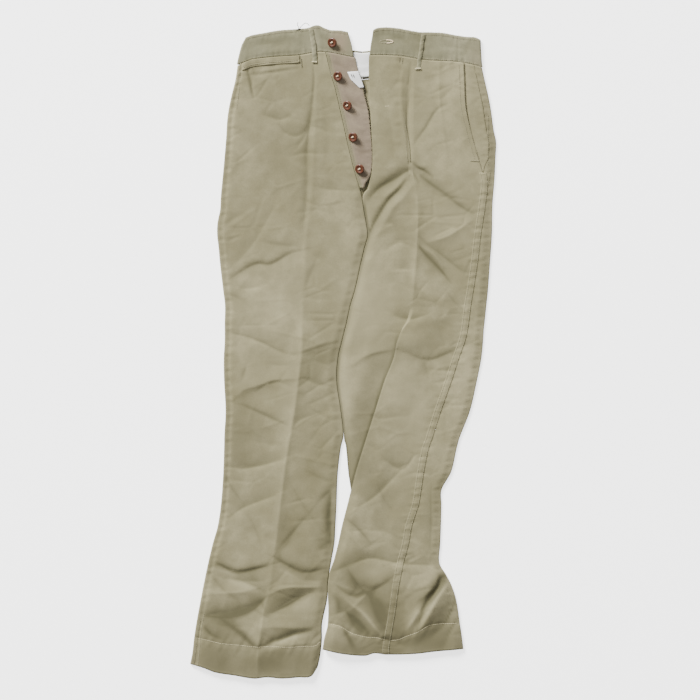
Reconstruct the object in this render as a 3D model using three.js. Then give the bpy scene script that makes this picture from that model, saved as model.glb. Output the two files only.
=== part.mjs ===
// Chino trousers with a button fly, laid flat on their back with the fly undone.
// Millimetres, +Z up from the surface they lie on, +Y towards the waist, +X to the wearer's left.
// Tables give x from the middle of the garment and "down", the distance from the top of the waistband.
import * as THREE from "three";
import { mergeVertices } from "three/addons/utils/BufferGeometryUtils.js";

// Driving sizes
const LENGTH = 1089; // top of the waistband to the lowest point of the right hem
const CLOTH = 1.0; // one layer of twill, as a wall
const HEM_CLOTH = 1.8; // the turned-up hem, two layers
const BAND_CLOTH = 2.0; // the waistband, two layers and its interlining
const SEAM_GAP = 0.4; // between two pieces at a seam
const LEG_GAP = 1.2; // between the two legs where they lie side by side
const EDGE_SOFT = 16; // how far in from an edge the cloth reaches its full loft
const HEM_DEPTH = 43; // depth of the turned-up hem
const WAIST_ROW = 60; // down to the seam under the waistband, at the side
const RIGHT_HEM = 1062; // down to the right hem at its outer corner
const LEFT_HEM = 1040; // down to the left hem at its outer corner
const CROTCH = 275; // down to the bottom of the fly
const FLOOR_RUN = 2; // cloth that lies on the floor past a side edge, before its seam
const SEAM_WIDTH = 6; // half the width of the felled outside seam

// A table with named columns, read by name at any value of its first column.
function table(names, rows) {
  return { names: names.split(" "), rows };
}

function at(tab, name, value) {
  const k = tab.names.indexOf(name);
  const rows = tab.rows;
  if (value <= rows[0][0]) return rows[0][k];
  if (value >= rows[rows.length - 1][0]) return rows[rows.length - 1][k];
  const i = rows.findIndex((r, n) => value < rows[n + 1][0]);
  const [from, to] = [rows[i], rows[i + 1]];
  const before = rows[Math.max(i - 1, 0)];
  const after = rows[Math.min(i + 2, rows.length - 1)];
  const span = to[0] - from[0];
  const t = (value - from[0]) / span;
  const slope = (a, b) => (b[0] === a[0] ? 0 : ((b[k] - a[k]) / (b[0] - a[0])) * span);
  const m0 = slope(before, to);
  const m1 = slope(from, after);
  const near = (1 + 2 * t) * (1 - t) ** 2;
  return near * from[k] + (1 - near) * to[k] + t * (1 - t) * ((1 - t) * m0 - t * m1);
}

const clamp01 = (t) => Math.min(1, Math.max(0, t));
const ease = (t) => clamp01(t) ** 2 * (3 - 2 * clamp01(t));
const mix = (a, b, t) => a + (b - a) * t;

// The wearer's right side: its outer edge, and the front's inner edge, which is the seam
// to the button stand above the crotch and the inside of the leg below it.
const RIGHT = table("down outer inner", [
  [60, -176, -29],
  [85, -179.5, -22],
  [117, -186.5, -11],
  [153, -192.7, -2],
  [187, -195, 5.5],
  [217, -197.5, 10.5],
  [250, -200.5, 16],
  [270, -202.5, 21],
  [287, -204, 31],
  [307, -205, 35],
  [330, -209.5, 39],
  [350, -210, 41.5],
  [372, -207.5, 36],
  [395, -205.5, 30.5],
  [442, -200, 20],
  [467, -197, 12.5],
  [497, -197.5, 6],
  [527, -197.5, -1.5],
  [555, -199, -8],
  [592, -198.5, -10],
  [643, -196, -3],
  [683, -198, 1],
  [705, -198.5, -3.5],
  [750, -200, -8.7],
  [802, -204, -10.7],
  [837, -209.5, -12.5],
  [863, -217, -14],
  [892, -224, -19],
  [927, -231.5, -24.6],
  [958, -237.5, -26.4],
  [995, -244.5, -34.5],
  [1020, -248.5, -35],
  [1045, -251.5, -38],
  [1062, -255, -42],
]);

// The wearer's left side: the fly edge and, below the crotch, the inside edge; the pressed front
// crease; the front's outer edge, which is the pocket mouth and then the outside seam; and the side.
const LEFT = table("down inner crease seam outer", [
  [60, 43.3, 108, 202, 232],
  [85, 42.8, 108.5, 203, 237],
  [117, 44.3, 109, 204, 243],
  [142, 45.3, 109.5, 206, 247],
  [175, 47.1, 110.5, 213, 251.5],
  [195, 48.4, 111, 218.5, 255.5],
  [220, 49.2, 112, 225.5, 254.5],
  [245, 47.8, 113, 233, 253.5],
  [262, 43.8, 116, 236, 252.5],
  [300, 36, 124, 232, 249.5],
  [350, 42, 123.5, 224.5, 248.5],
  [400, 30, 122, 218.5, 245],
  [442, 20, 117.5, 212, 242],
  [470, 12, 115, 207.5, 239],
  [490, 7, 109, 205, 237],
  [508, 3, 98, 202.5, 235],
  [527, -1, 90, 198, 233.8],
  [555, -7, 84, 188, 231],
  [592, -9, 69.2, 176, 223.8],
  [643, -2, 53, 158, 212],
  [687, 2.5, 39, 144, 195],
  [705, 5, 33.3, 137.5, 190],
  [745, 8.6, 21, 129.5, 180.5],
  [775, 12.3, 13.3, 125, 164.5],
  [800, 9.5, 7, 120.5, 164.3],
  [835, 0.6, -2, 109.5, 163.5],
  [865, -5.5, -8.5, 104, 162.3],
  [897, -13, -16.5, 95.5, 161],
  [916, -17, -20, 91.5, 172],
  [935, -21, -24, 87, 181.5],
  [960, -21.5, -24.3, 82, 189.3],
  [1000, -23, -26, 73, 195.5],
  [1020, -28, -31, 71.5, 198.5],
  [1040, -31.5, -34.3, 71.5, 201],
]);

// How the left leg's front turns under at its crease, where the leg is twisted: the angle that it
// turns through, how far it then runs back under itself, and where the inseam lies underneath.
const TWIST = table("down turn back inseam", [
  [470, 1, 3, 16],
  [490, 45, 2.5, 12],
  [508, 90, 1.6, 8],
  [527, 135, 3, 5],
  [548, 180, 5, 1],
  [600, 180, 9, 2],
  [700, 180, 11, 14],
  [775, 180, 11, 22],
  [835, 180, 9, 20],
  [900, 180, 7, 40],
  [1040, 180, 6, 56],
]);

// The height of the side edges, and how much higher the cloth stands between them.
const LEVELS = table("down edge loft", [
  [60, 5.8, 0],
  [90, 5.2, 0.8],
  [150, 4.0, 1.8],
  [210, 3.4, 2.3],
  [900, 3.4, 2.3],
  [990, 4.6, 2.8],
  [1062, 4.6, 2.8],
]);

// The largest folds, from one end to the other. A height below 0 is a trough.
const FOLDS = table("x0 down0 x1 down1 height width", [
  // right leg: its pressed crease
  [-52, 83, -57, 292, 1.4, 10],
  [-57, 292, -75, 592, 1.6, 10],
  [-75, 592, -110, 837, 2.0, 11],
  [-110, 837, -142, 1042, 2.6, 11],
  // right leg: thigh and knee
  [-187, 422, -70, 377, -2.6, 10],
  [-175, 394, -120, 309, -2.0, 10],
  [-168, 515, -72, 552, -2.0, 9],
  [-68, 543, -4, 522, -2.0, 9],
  [-172, 611, -119, 599, -2.4, 9],
  [-167, 633, -90, 670, -2.0, 9],
  [-184, 668, -160, 700, -2.2, 14],
  [-192, 737, -100, 723, -1.8, 9],
  [-192, 822, -113, 783, -1.6, 9],
  [-25, 783, -18, 858, -2.0, 10],
  // right leg: above the hem
  [-220, 905, -130, 900, -3.4, 10],
  [-228, 984, -150, 970, -4.6, 12],
  [-150, 970, -118, 945, -3.4, 11],
  [-118, 945, -50, 938, -4.2, 12],
  [-209, 988, -146, 1036, -4.2, 9],
  [-138, 1036, -58, 1016, -3.6, 9],
  [-205, 945, -140, 952, 3.0, 14],
  [-105, 985, -50, 965, 2.6, 16],
  // left side: crease, seat and thigh
  [108, 70, 124, 292, 1.4, 10],
  [124, 292, 115, 470, 2.0, 10],
  [44, 287, 82, 265, -4.2, 11],
  [82, 265, 110, 240, -4.2, 10],
  [68, 300, 104, 258, 2.4, 9],
  [44, 300, 43, 345, -3.0, 9],
  [115, 230, 150, 256, -3.0, 8],
  [138, 258, 222, 314, -4.2, 10],
  [123, 368, 178, 425, -4.0, 10],
  [85, 482, 140, 480, -2.4, 9],
  [106, 545, 168, 556, -2.0, 10],
  // left leg: knee and calf
  [30, 800, 90, 750, 2.0, 10],
  [60, 775, 84, 820, -1.6, 9],
  [140, 850, 150, 905, -1.8, 9],
  // left leg: above the hem
  [-22, 927, 22, 952, 3.0, 10],
  [-15, 945, 20, 975, -3.4, 10],
  [23, 965, 61, 1017, 4.6, 10],
  [38, 950, 52, 995, -3.8, 10],
  [68, 985, 76, 1020, -3.2, 12],
  [157, 932, 104, 1006, -5.0, 11],
  [173, 945, 124, 1017, 6.4, 13],
  [190, 985, 168, 1040, -2.4, 12],
]);

const BAND_RIGHT = table("x top seam", [
  [-175, 22, 65],
  [-162, 20.3, 61],
  [-153, 17, 57.5],
  [-132, 13, 54.5],
  [-107, 8.7, 52.3],
  [-77, 6.5, 50.5],
  [-58, 4.5, 47.5],
  [-48, 0.6, 45.5],
  [-40, 0.4, 44.5],
  [-32, 4.2, 44.8],
  [-22, 7.9, 45.6],
  [-4, 8.9, 49],
  [7, 11, 51.5],
  [18, 12, 53.3],
]);

const BAND_LEFT = table("x top seam", [
  [43, 10, 50],
  [50, 8, 50],
  [56, 5, 50],
  [72, 3.5, 50],
  [91, 5, 51],
  [102, 7, 52.3],
  [128, 11.5, 57],
  [144, 11.8, 58.7],
  [167, 12.9, 60],
  [186, 16.5, 61],
  [205, 19.3, 63.5],
  [221, 20.5, 67],
  [232, 26, 70],
]);

// Ends of the waistband: the fly edges, and the folds at the two sides.
const BAND_ENDS = table("down rightFly rightSide leftFly leftSide", [
  [0, 4.5, -160, 52, 226],
  [20, 10.5, -162, 48.5, 229.5],
  [34, 14.7, -169, 46, 230.2],
  [46, 16.5, -172.5, 44.6, 231],
  [60, 18, -176, 43.3, 232],
  [70, 18, -178, 43.3, 234],
]);

const CENTRE_BACK = { x: 32, top: 43.5, seam: 90 };

// How far the hem hangs below its outer corner, by the share of the way across from the side.
const HEM_RIGHT_DROP = table("across drop", [
  [0, 3], [0.1, 9], [0.2, 17], [0.35, 22], [0.5, 27], [0.6, 25], [0.72, 27], [0.85, 25], [0.95, 23], [1, 8],
]);
const HEM_LEFT_DROP = table("across drop", [
  [0, 0], [0.1, 2], [0.2, 4], [0.35, 8], [0.55, 9], [0.63, 7], [0.7, 11], [0.85, 8], [1, 0.5],
]);

const STAND_EDGE = table("down x", [
  [53, 18], [72, 22.5], [105, 32.5], [125, 37], [145, 41.7], [175, 45], [200, 47.2], [225, 48], [245, 46],
  [262, 42], [275, 39],
]);

// Heights of the laid garment

function foldsAt(x, down) {
  let sum = 0;
  for (const [x0, d0, x1, d1, height, width] of FOLDS.rows) {
    const [ux, ud] = [x1 - x0, d1 - d0];
    const along = ((x - x0) * ux + (down - d0) * ud) / (ux * ux + ud * ud);
    const t = clamp01(along);
    const away = Math.hypot(x - x0 - t * ux, down - d0 - t * ud);
    if (away > 3 * width) continue;
    const taper = 0.35 + 0.65 * Math.sin(Math.PI * clamp01(0.12 + 0.76 * t));
    sum += height * taper * Math.exp(-((away / width) ** 2));
  }
  return sum;
}

function rightInner(down) {
  return at(RIGHT, "inner", down);
}

function leftInner(down) {
  const own = at(LEFT, "inner", down);
  return down > CROTCH ? Math.max(own, rightInner(down) + LEG_GAP) : own;
}

function leftCrease(down) {
  const own = at(LEFT, "crease", down);
  return down > 800 ? Math.max(own, rightInner(down) + LEG_GAP) : own;
}

// 0 at a side edge, 1 where the cloth has its loft. Above the crotch the fly edges aren't edges.
function softness(x, down, outer, inner) {
  const legs = ease((down - CROTCH + 20) / 45);
  const fromInner = Math.abs(x - inner) + (1 - legs) * EDGE_SOFT;
  return ease(Math.abs(x - outer) / EDGE_SOFT) * ease(fromInner / EDGE_SOFT);
}

function lift(x, down, side) {
  const outer = at(side === "right" ? RIGHT : LEFT, "outer", down);
  const inner = side === "right" ? rightInner(down) : Math.min(leftInner(down), leftCrease(down));
  const beyond = side === "right" ? x > inner && down > CROTCH : x < inner && down > CROTCH;
  if (beyond) return 0;
  return softness(x, down, outer, inner) * Math.max(at(LEVELS, "loft", down) + foldsAt(x, down), 0);
}

// A section's path, walked over its outer face: straight runs, and turns of a given arc length.
function walk(x, z, heading, side, steps) {
  const points = [];
  const put = () => points.push({ x, z, nx: side * Math.sin(heading), nz: -side * Math.cos(heading) });
  put();
  for (const { run = 0, turn = 0, n } of steps) {
    const angle = turn / n;
    const chord = Math.abs(angle) < 1e-3 ? run / n : (2 * (run / turn) * Math.sin(angle / 2));
    for (let i = 0; i < n; i += 1) {
      x += chord * Math.cos(heading + angle / 2);
      z += chord * Math.sin(heading + angle / 2);
      heading += angle;
      put();
    }
  }
  return points;
}

const runTo = (length, n) => ({ run: Math.max(length, 0.5), n });

// Solids

function thickness(down, hem) {
  return down > hem - HEM_DEPTH ? HEM_CLOTH : CLOTH;
}

// One closed wall from a grid of points on its outer face and a grid on its inner face.
function wall(outer, inner) {
  const rows = outer.length;
  const cols = outer[0].length;
  const points = [...outer.flat(), ...inner.flat()];
  const id = (face, j, i) => face * rows * cols + j * cols + i;
  const quads = [];
  for (let j = 0; j + 1 < rows; j += 1)
    for (let i = 0; i + 1 < cols; i += 1) {
      quads.push([id(0, j, i), id(0, j, i + 1), id(0, j + 1, i + 1), id(0, j + 1, i)]);
      quads.push([id(1, j + 1, i), id(1, j + 1, i + 1), id(1, j, i + 1), id(1, j, i)]);
    }
  const rim = [];
  for (let i = 0; i < cols - 1; i += 1) rim.push([0, i]);
  for (let j = 0; j < rows - 1; j += 1) rim.push([j, cols - 1]);
  for (let i = cols - 1; i > 0; i -= 1) rim.push([rows - 1, i]);
  for (let j = rows - 1; j > 0; j -= 1) rim.push([j, 0]);
  rim.forEach(([j, i], k) => {
    const [jn, iN] = rim[(k + 1) % rim.length];
    quads.push([id(0, jn, iN), id(0, j, i), id(1, j, i), id(1, jn, iN)]);
  });
  return solid(points, quads.flatMap(([a, b, c, d]) => [a, b, c, a, c, d]));
}

function solid(points, index) {
  const positions = new Float32Array(points.flat());
  let volume = 0;
  const [a, b, c] = [new THREE.Vector3(), new THREE.Vector3(), new THREE.Vector3()];
  for (let n = 0; n < index.length; n += 3) {
    a.fromArray(points[index[n]]);
    b.fromArray(points[index[n + 1]]);
    c.fromArray(points[index[n + 2]]);
    volume += a.dot(b.cross(c));
  }
  const facing = volume < 0 ? index.map((v, n) => index[n - (n % 3) + (2 - (n % 3))]) : index;
  const geometry = new THREE.BufferGeometry();
  geometry.setAttribute("position", new THREE.BufferAttribute(positions, 3));
  geometry.setIndex(facing);
  geometry.computeVertexNormals();
  return geometry;
}

// Stations down the garment at which every panel has a row.
function stations(hem) {
  return [
    60, 76, 92, 117, 150, 188, 224, 245, 262, 281, 300, 328, 358, 390, 425, 460, 490, 508, 527, 548, 590,
    635, 680, 725, 765, 800, 838, 866, 890, 910, 928, 945, 962, 980,
    hem - HEM_DEPTH - 2, hem - HEM_DEPTH, hem - 20, hem,
  ];
}

// Moves a row's points down to the curve of the waist seam or of the hem.
function shifted(down, waistSeam, hem, drop) {
  const waist = (1 - ease((down - WAIST_ROW) / 90)) * (waistSeam - WAIST_ROW);
  return down + waist + ease((down - hem + 110) / 110) * drop;
}

// The outer and inner faces of a panel whose section at each station is a walked path.
function panel({ hem, side, path, seamAt, dropAt, lifted, raise = () => 0 }) {
  const outer = [];
  const inner = [];
  for (const down of stations(hem)) {
    const points = path(down);
    const cloth = thickness(down, hem);
    outer.push([]);
    inner.push([]);
    points.forEach((p, i) => {
      const up = (lifted(i, points.length, down) ? lift(p.x, down, side) : 0) + raise(p.x, down, i);
      const y = -shifted(down, seamAt(p.x, i), hem, dropAt(p.x, down));
      outer[outer.length - 1].push([p.x, y, Math.max(p.z + up, 0)]);
      inner[inner.length - 1].push([p.x - cloth * p.nx, y, Math.max(p.z + up - cloth * p.nz, 0)]);
    });
  }
  return { outer, inner };
}

const edgeHeight = (down) => at(LEVELS, "edge", down);
const halfTurn = (down) => (Math.PI * edgeHeight(down)) / 2;

function acrossRight(x, down) {
  const outer = at(RIGHT, "outer", down);
  return clamp01((x - outer) / (rightInner(down) - outer));
}

function acrossLeft(x, down) {
  const outer = at(LEFT, "outer", down);
  return clamp01((outer - x) / (outer - leftCrease(down)));
}

const rightDrop = (x, down) => at(HEM_RIGHT_DROP, "drop", acrossRight(x, down));
const leftDrop = (x, down) => at(HEM_LEFT_DROP, "drop", acrossLeft(x, down));

// The inner edge of a front: flat above the crotch, turned down at it, and round to the floor below.
function innerEdge(down) {
  if (down < CROTCH - 5) return { turn: 0.02, run: 3, end: 0.6 };
  if (down < CROTCH + 15) return { turn: Math.PI / 2, run: 2.6, end: 0.2 };
  return { turn: Math.PI, run: halfTurn(down), end: FLOOR_RUN };
}

// How far a turn of that arc length reaches sideways.
function reach({ turn, run }) {
  const radius = run / turn;
  return turn > Math.PI / 2 ? radius : radius * Math.sin(turn);
}

function frontRightPath(down) {
  const z = edgeHeight(down);
  const outer = at(RIGHT, "outer", down);
  const edge = innerEdge(down);
  const from = rightInner(down) - reach(edge) - (down < CROTCH - 5 ? edge.end + SEAM_GAP : 0);
  const right = walk(from, z, 0, -1, [{ run: edge.run, turn: -edge.turn, n: 3 }, runTo(edge.end, 1)]);
  const left = walk(from, z, Math.PI, 1, [
    runTo(from - outer - z / 2, 13),
    { run: halfTurn(down), turn: Math.PI, n: 3 },
    runTo(FLOOR_RUN, 1),
  ]);
  return [...right.reverse(), ...left.slice(1)];
}

function frontLeftPath(down) {
  const z = edgeHeight(down);
  const turn = Math.max((at(TWIST, "turn", down) * Math.PI) / 180, 0.02);
  const folded = thickness(down, LEFT_HEM) > CLOTH ? 6.2 : 3.7;
  const back = at(TWIST, "back", down);
  const seam = at(LEFT, "seam", down) - SEAM_GAP / 2;
  const crease = leftCrease(down);
  const edge = innerEdge(down);
  const start = crease + Math.max(folded / Math.max(turn, 1), folded / Math.PI);
  const under = { run: folded, turn, n: 3 };
  const valley = { run: 0.6, turn: -turn, n: 2 };
  const firstLegs = walk(seam, z, Math.PI, 1, [
    runTo(SEAM_WIDTH, 1),
    runTo(seam - start - SEAM_WIDTH, 8),
    under,
    { run: back, n: 1 },
    valley,
  ]);
  const last = firstLegs[firstLegs.length - 1];
  const inner = down > 785 ? leftCrease(down) + 3 : leftInner(down);
  const drop = z - last.z;
  const inseam = Math.max(at(TWIST, "inseam", down) - inner - z / 2, FLOOR_RUN);
  const floorEnd = down < CROTCH + 15 ? edge.end : inseam;
  const rest = walk(last.x, last.z, Math.PI, 1, [
    runTo(last.x - inner - reach(edge) - (down < CROTCH - 5 ? edge.end : 0), 5),
    { run: edge.run, turn: edge.turn, n: 3 },
    runTo(floorEnd, 1),
  ]);
  const points = [...firstLegs, ...rest.slice(1)];
  // the layers under the crease carry it, so it stands higher than the side
  const carried = (p, i) => (i < TOP_LEFT_POINTS ? drop * ease((crease + 75 - p.x) / 60) : drop);
  return points.map((p, i) => ({ ...p, z: p.z + carried(p, i) }));
}

function backLeftPath(down) {
  const z = edgeHeight(down);
  const outer = at(LEFT, "outer", down);
  const seam = at(LEFT, "seam", down) + SEAM_GAP / 2;
  const turn = outer - z / 2;
  const from = down < 236 ? Math.max(seam, turn - 12) : Math.min(seam, turn - SEAM_WIDTH - 1);
  const inner = down > 785 ? leftCrease(down) + 3 : leftInner(down);
  const floorEnd = Math.max(at(TWIST, "inseam", down), inner + z / 2 + FLOOR_RUN) + SEAM_GAP;
  const end = down < CROTCH - 5 ? CENTRE_BACK.x + (down / CROTCH) * 5 + SEAM_GAP : floorEnd;
  return walk(from, z, 0, -1, [
    runTo(SEAM_WIDTH, 1),
    runTo(turn - from - SEAM_WIDTH, 2),
    { run: halfTurn(down), turn: -Math.PI, n: 3 },
    runTo(turn - end, 2),
  ]);
}

function backRightPath(down) {
  const z = edgeHeight(down);
  const left = at(RIGHT, "outer", down) + z / 2 + FLOOR_RUN + SEAM_GAP;
  const crotch = CENTRE_BACK.x + (down / CROTCH) * 5;
  const right = down < CROTCH - 5 ? crotch : rightInner(down) - z / 2 - FLOOR_RUN - SEAM_GAP;
  return walk(left, 0, 0, 1, [runTo(right - left, 2)]);
}

const BAND_GAP = 0.9; // between the waistband and what is sewn to it
const bandSeamRight = (x) => at(BAND_RIGHT, "seam", x) + BAND_GAP;
const bandSeamLeft = (x) => at(BAND_LEFT, "seam", x) + BAND_GAP;

// The back of the waistband dips from the sides to the centre back, with its seam.
function backLine(x, side, atSide, atCentre) {
  return mix(atSide, atCentre, clamp01((x - side) / (CENTRE_BACK.x - side)));
}

// The top of the pocket mouth stands on the facing under it.
function mouthRaise(x, down) {
  const mouth = at(LEFT, "seam", down);
  return (CLOTH + SEAM_GAP) * ease((x - mouth + 50) / 30) * (1 - ease((down - 245) / 15));
}

const TOP_RIGHT_POINTS = 19; // of a row of the right front, as far as the side's turn
const TOP_LEFT_POINTS = 10; // of a row of the left front, as far as its crease
const TOP_BACK_POINTS = 4; // of a row of the left back, as far as the side's turn

const frontRight = panel({
  hem: RIGHT_HEM,
  side: "right",
  path: frontRightPath,
  seamAt: (x, i) => (i < TOP_RIGHT_POINTS ? bandSeamRight(x) : 67),
  dropAt: rightDrop,
  lifted: (i, n, down) => i < n - 2 && (down < CROTCH || i > 1),
});
const frontLeft = panel({
  hem: LEFT_HEM,
  side: "left",
  path: frontLeftPath,
  seamAt: bandSeamLeft,
  dropAt: leftDrop,
  lifted: (i, n, down) => down < CROTCH || i < n - 2,
  raise: (x, down, i) => (i < TOP_LEFT_POINTS ? mouthRaise(x, down) : 0),
});
const backRight = panel({
  hem: RIGHT_HEM,
  side: "right",
  path: backRightPath,
  seamAt: (x) => backLine(x, -176, 66, CENTRE_BACK.seam + 0.8),
  dropAt: rightDrop,
  lifted: () => false,
});
const backLeft = panel({
  hem: LEFT_HEM,
  side: "left",
  path: backLeftPath,
  seamAt: (x, i) => (i < TOP_BACK_POINTS ? bandSeamLeft(x) : backLine(x, 232, 71, CENTRE_BACK.seam + 0.8)),
  dropAt: leftDrop,
  lifted: (i) => i < TOP_BACK_POINTS,
});

// Pieces that lie on a panel are sheets made from points on it, moved out.
function sheet(rows, cloth) {
  return wall(rows, rows.map((row) => row.map(([x, y, z]) => [x, y, z - cloth])));
}

// A value taken straight between the rows of a panel, as its wall runs.
function onRows(value, down) {
  const rows = stations(RIGHT_HEM);
  const k = rows.findIndex((row, n) => down < rows[n + 1]);
  return mix(value(rows[k]), value(rows[k + 1]), (down - rows[k]) / (rows[k + 1] - rows[k]));
}

const topOfRight = (x, down) => edgeHeight(down) + lift(x, down, "right");
const topOfLeft = (x, down) => edgeHeight(down) + lift(x, down, "left");
const even = (from, to, n) => Array.from({ length: n + 1 }, (_, i) => mix(from, to, i / n));

// Half of the waistband: from its end at the fly, over the side fold and under to the centre back.
function band(names, rowsOf, side) {
  const [fly, fold] = names;
  const flyEnd = side === "right" ? 18 : 43.3;
  const outer = [];
  const inner = [];
  for (const share of [0, 0.3, 0.65, 1]) {
    const flyDown = mix(at(rowsOf, "top", flyEnd), at(rowsOf, "seam", flyEnd), share);
    const foldX = at(BAND_ENDS, fold, mix(22, 66, share));
    const flyX = at(BAND_ENDS, fly, flyDown);
    const sign = side === "right" ? 1 : -1;
    const radius = 2.9;
    const front = Math.abs(flyX - foldX) - radius;
    const back = Math.abs(CENTRE_BACK.x - foldX) - radius - SEAM_GAP / 2;
    const path = walk(flyX, 2 * radius, side === "right" ? Math.PI : 0, sign, [
      { run: front, n: 16 },
      { run: Math.PI * radius, turn: sign * Math.PI, n: 4 },
      { run: back, n: 3 },
    ]);
    const place = (p, i) => {
      const onFront = i < 19;
      const line = (name) =>
        onFront ? at(rowsOf, name, p.x) : backLine(p.x, foldX, at(rowsOf, name, foldX), CENTRE_BACK[name]);
      return -mix(line("top"), line("seam"), share);
    };
    outer.push(path.map((p, i) => [p.x, place(p, i), p.z]));
    inner.push(path.map((p, i) => [p.x - BAND_CLOTH * p.nx, place(p, i), p.z - BAND_CLOTH * p.nz]));
  }
  return wall(outer, inner);
}

const bandRight = band(["rightFly", "rightSide"], BAND_RIGHT, "right");
const bandLeft = band(["leftFly", "leftSide"], BAND_LEFT, "left");

// The white lining on the inside of the back of the waistband, across the centre back.
const LINING = { from: -22, to: 78, cloth: 0.8, top: 3, seam: -3 };
const lining = sheet(
  [LINING.top, CENTRE_BACK.seam - CENTRE_BACK.top + LINING.seam].map((down) =>
    even(LINING.from, LINING.to, 4).map((x) => {
      const side = x < CENTRE_BACK.x ? -176 : 232;
      return [x, -backLine(x, side, 24, CENTRE_BACK.top) - down, BAND_CLOTH + SEAM_GAP + LINING.cloth];
    }),
  ),
  LINING.cloth,
);

// The button stand, two layers of cloth along the right front's fly seam.
const STAND_CLOTH = 1.8;
const standTop = (x, down) => topOfRight(x, down);
const stand = sheet(
  [60, 76, 92, 117, 150, 188, 224, 245, 262, 271].map((down) =>
    even(onRows(rightInner, down) + SEAM_GAP, at(STAND_EDGE, "x", down), 5).map((x) => [
      x,
      -shifted(down, bandSeamRight(x), RIGHT_HEM, 0),
      standTop(x, down),
    ]),
  ),
  STAND_CLOTH,
);

// The strip under the left fly edge that holds the buttonholes.
const facingFly = sheet(
  [60, 76, 92, 117, 150, 188, 224, 240].map((down) =>
    even(leftInner(down) + 2, leftInner(down) + 47 - (down > 188 ? (down - 188) * 0.5 : 0), 4).map((x) => [
      x,
      -shifted(down, bandSeamLeft(x), LEFT_HEM, 0),
      topOfLeft(x, down) - CLOTH - SEAM_GAP,
    ]),
  ),
  CLOTH,
);

// The cloth seen through the mouth of the left side pocket.
const backStart = (down) => onRows((row) => backLeftPath(row)[0].x, down);
const facingSide = sheet(
  [60, 76, 92, 117, 150, 188, 224, 238].map((down) =>
    even(onRows((row) => at(LEFT, "seam", row), down) - 18, backStart(down) - SEAM_GAP, 4).map((x) => [
      x,
      -shifted(down, bandSeamLeft(x), LEFT_HEM, 0),
      topOfLeft(x, down),
    ]),
  ),
  CLOTH,
);

// The felled outside seam on the left leg, folded over from both panels.
const FELL_CLOTH = 1.0;
const LEFT_ROWS = stations(LEFT_HEM);
const fell = sheet(
  LEFT_ROWS.map((down, j) => [frontLeft.outer[j], backLeft.outer[j]])
    .map(([front, back]) => [front[1], front[0], back[0], back[1]])
    .filter((row, j) => LEFT_ROWS[j] > 244)
    .map((row) => row.map(([x, y, z]) => [x, y, z + SEAM_GAP + FELL_CLOTH])),
  FELL_CLOTH,
);

// The welt of the watch pocket, under the right half of the waistband.
const WELT = { from: -168, to: -72, depth: 13, cloth: 1.2 };
const welt = sheet(
  [1.2, WELT.depth].map((down) =>
    even(WELT.from, WELT.to, 10).map((x) => {
      const seam = at(BAND_RIGHT, "seam", x);
      return [x, -(seam + down), topOfRight(x, 60 + down) + SEAM_GAP + WELT.cloth];
    }),
  ),
  WELT.cloth,
);

// Belt loops, sewn over the waistband at its top edge and below its seam.
const LOOP_CLOTH = 1.4;
const OVER_BAND = 5.8 + SEAM_GAP + LOOP_CLOTH;
const LOOP_RIGHT = table("x down over", [
  [-55, 6.5, 0],
  [-50.5, 20, 0.8],
  [-47, 36, 1],
  [-44.5, 52, 0.9],
  [-43.5, 66, 0.5],
]);
const LOOP_LEFT = table("x down over", [
  [133, 14, 0],
  [131.5, 26, 0.8],
  [129, 42, 1],
  [126, 60, 0.9],
  [124, 76, 0.5],
]);

function beltLoop(rowsOf, width) {
  const across = (x, up, down) => [
    [x - width / 2, -down, up],
    [x, -down, up + 0.5],
    [x + width / 2, -down, up],
  ];
  return sheet(rowsOf.rows.map(([x, down, over]) => across(x, OVER_BAND + over, down)), LOOP_CLOTH);
}

const loopRight = beltLoop(LOOP_RIGHT, 9);
const loopLeft = beltLoop(LOOP_LEFT, 8);

// A bare white tag that lies on the button stand.
const TAG = { rows: [[7.3, 25.5, 78.5, 77.2], [13, 29.5, 91, 88], [28.3, 35, 105.4, 104]], cloth: 0.6 };
const tag = sheet(
  TAG.rows.map(([x0, x1, down0, down1]) =>
    even(0, 1, 2).map((t) => {
      const [x, down] = [mix(x0, x1, t), mix(down0, down1, t)];
      return [x, -down, standTop(x, down) + SEAM_GAP + TAG.cloth];
    }),
  ),
  TAG.cloth,
);

// Tack buttons with a rim, a hollowed middle and a neck, each leaning to the lower right.
const BUTTON = { radius: 8, rim: 2.6, neck: 2.4, lean: 0.3, aim: -0.75 };
const BUTTONS = table("down x", [
  [29.8, -18],
  [85.7, -8.5],
  [134.8, 7.3],
  [187.3, 16.7],
  [240.3, 27.8],
]);
const BUTTON_PROFILE = table("out up", [
  [0, -2.2],
  [2.4, -2.2],
  [2.6, -0.6],
  [6.6, -0.5],
  [8, 0.5],
  [7.6, 1.5],
  [6.4, 1.9],
  [4.6, 1.3],
  [2, 0.6],
  [0, 0.6],
]);

function button(x, down, on) {
  const profile = BUTTON_PROFILE.rows.map(([out, up]) => new THREE.Vector2(out, up));
  const round = new THREE.LatheGeometry(profile, 12);
  const axis = new THREE.Vector3(Math.cos(BUTTON.aim), Math.sin(BUTTON.aim), 0);
  const upright = new THREE.Matrix4().makeRotationX(Math.PI / 2);
  const lean = new THREE.Matrix4().makeRotationAxis(axis, BUTTON.lean);
  round.applyMatrix4(upright);
  round.applyMatrix4(lean);
  round.computeBoundingBox();
  round.translate(x, -down, on + SEAM_GAP - round.boundingBox.min.z);
  const welded = mergeVertices(round.deleteAttribute("uv").deleteAttribute("normal"), 1e-4);
  welded.computeVertexNormals();
  return welded;
}

const group = new THREE.Group();
const COLOURS = { twill: "#a9a58c", shade: "#a5998a", white: "#e9e9e4", button: "#8a3f16" };

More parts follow.
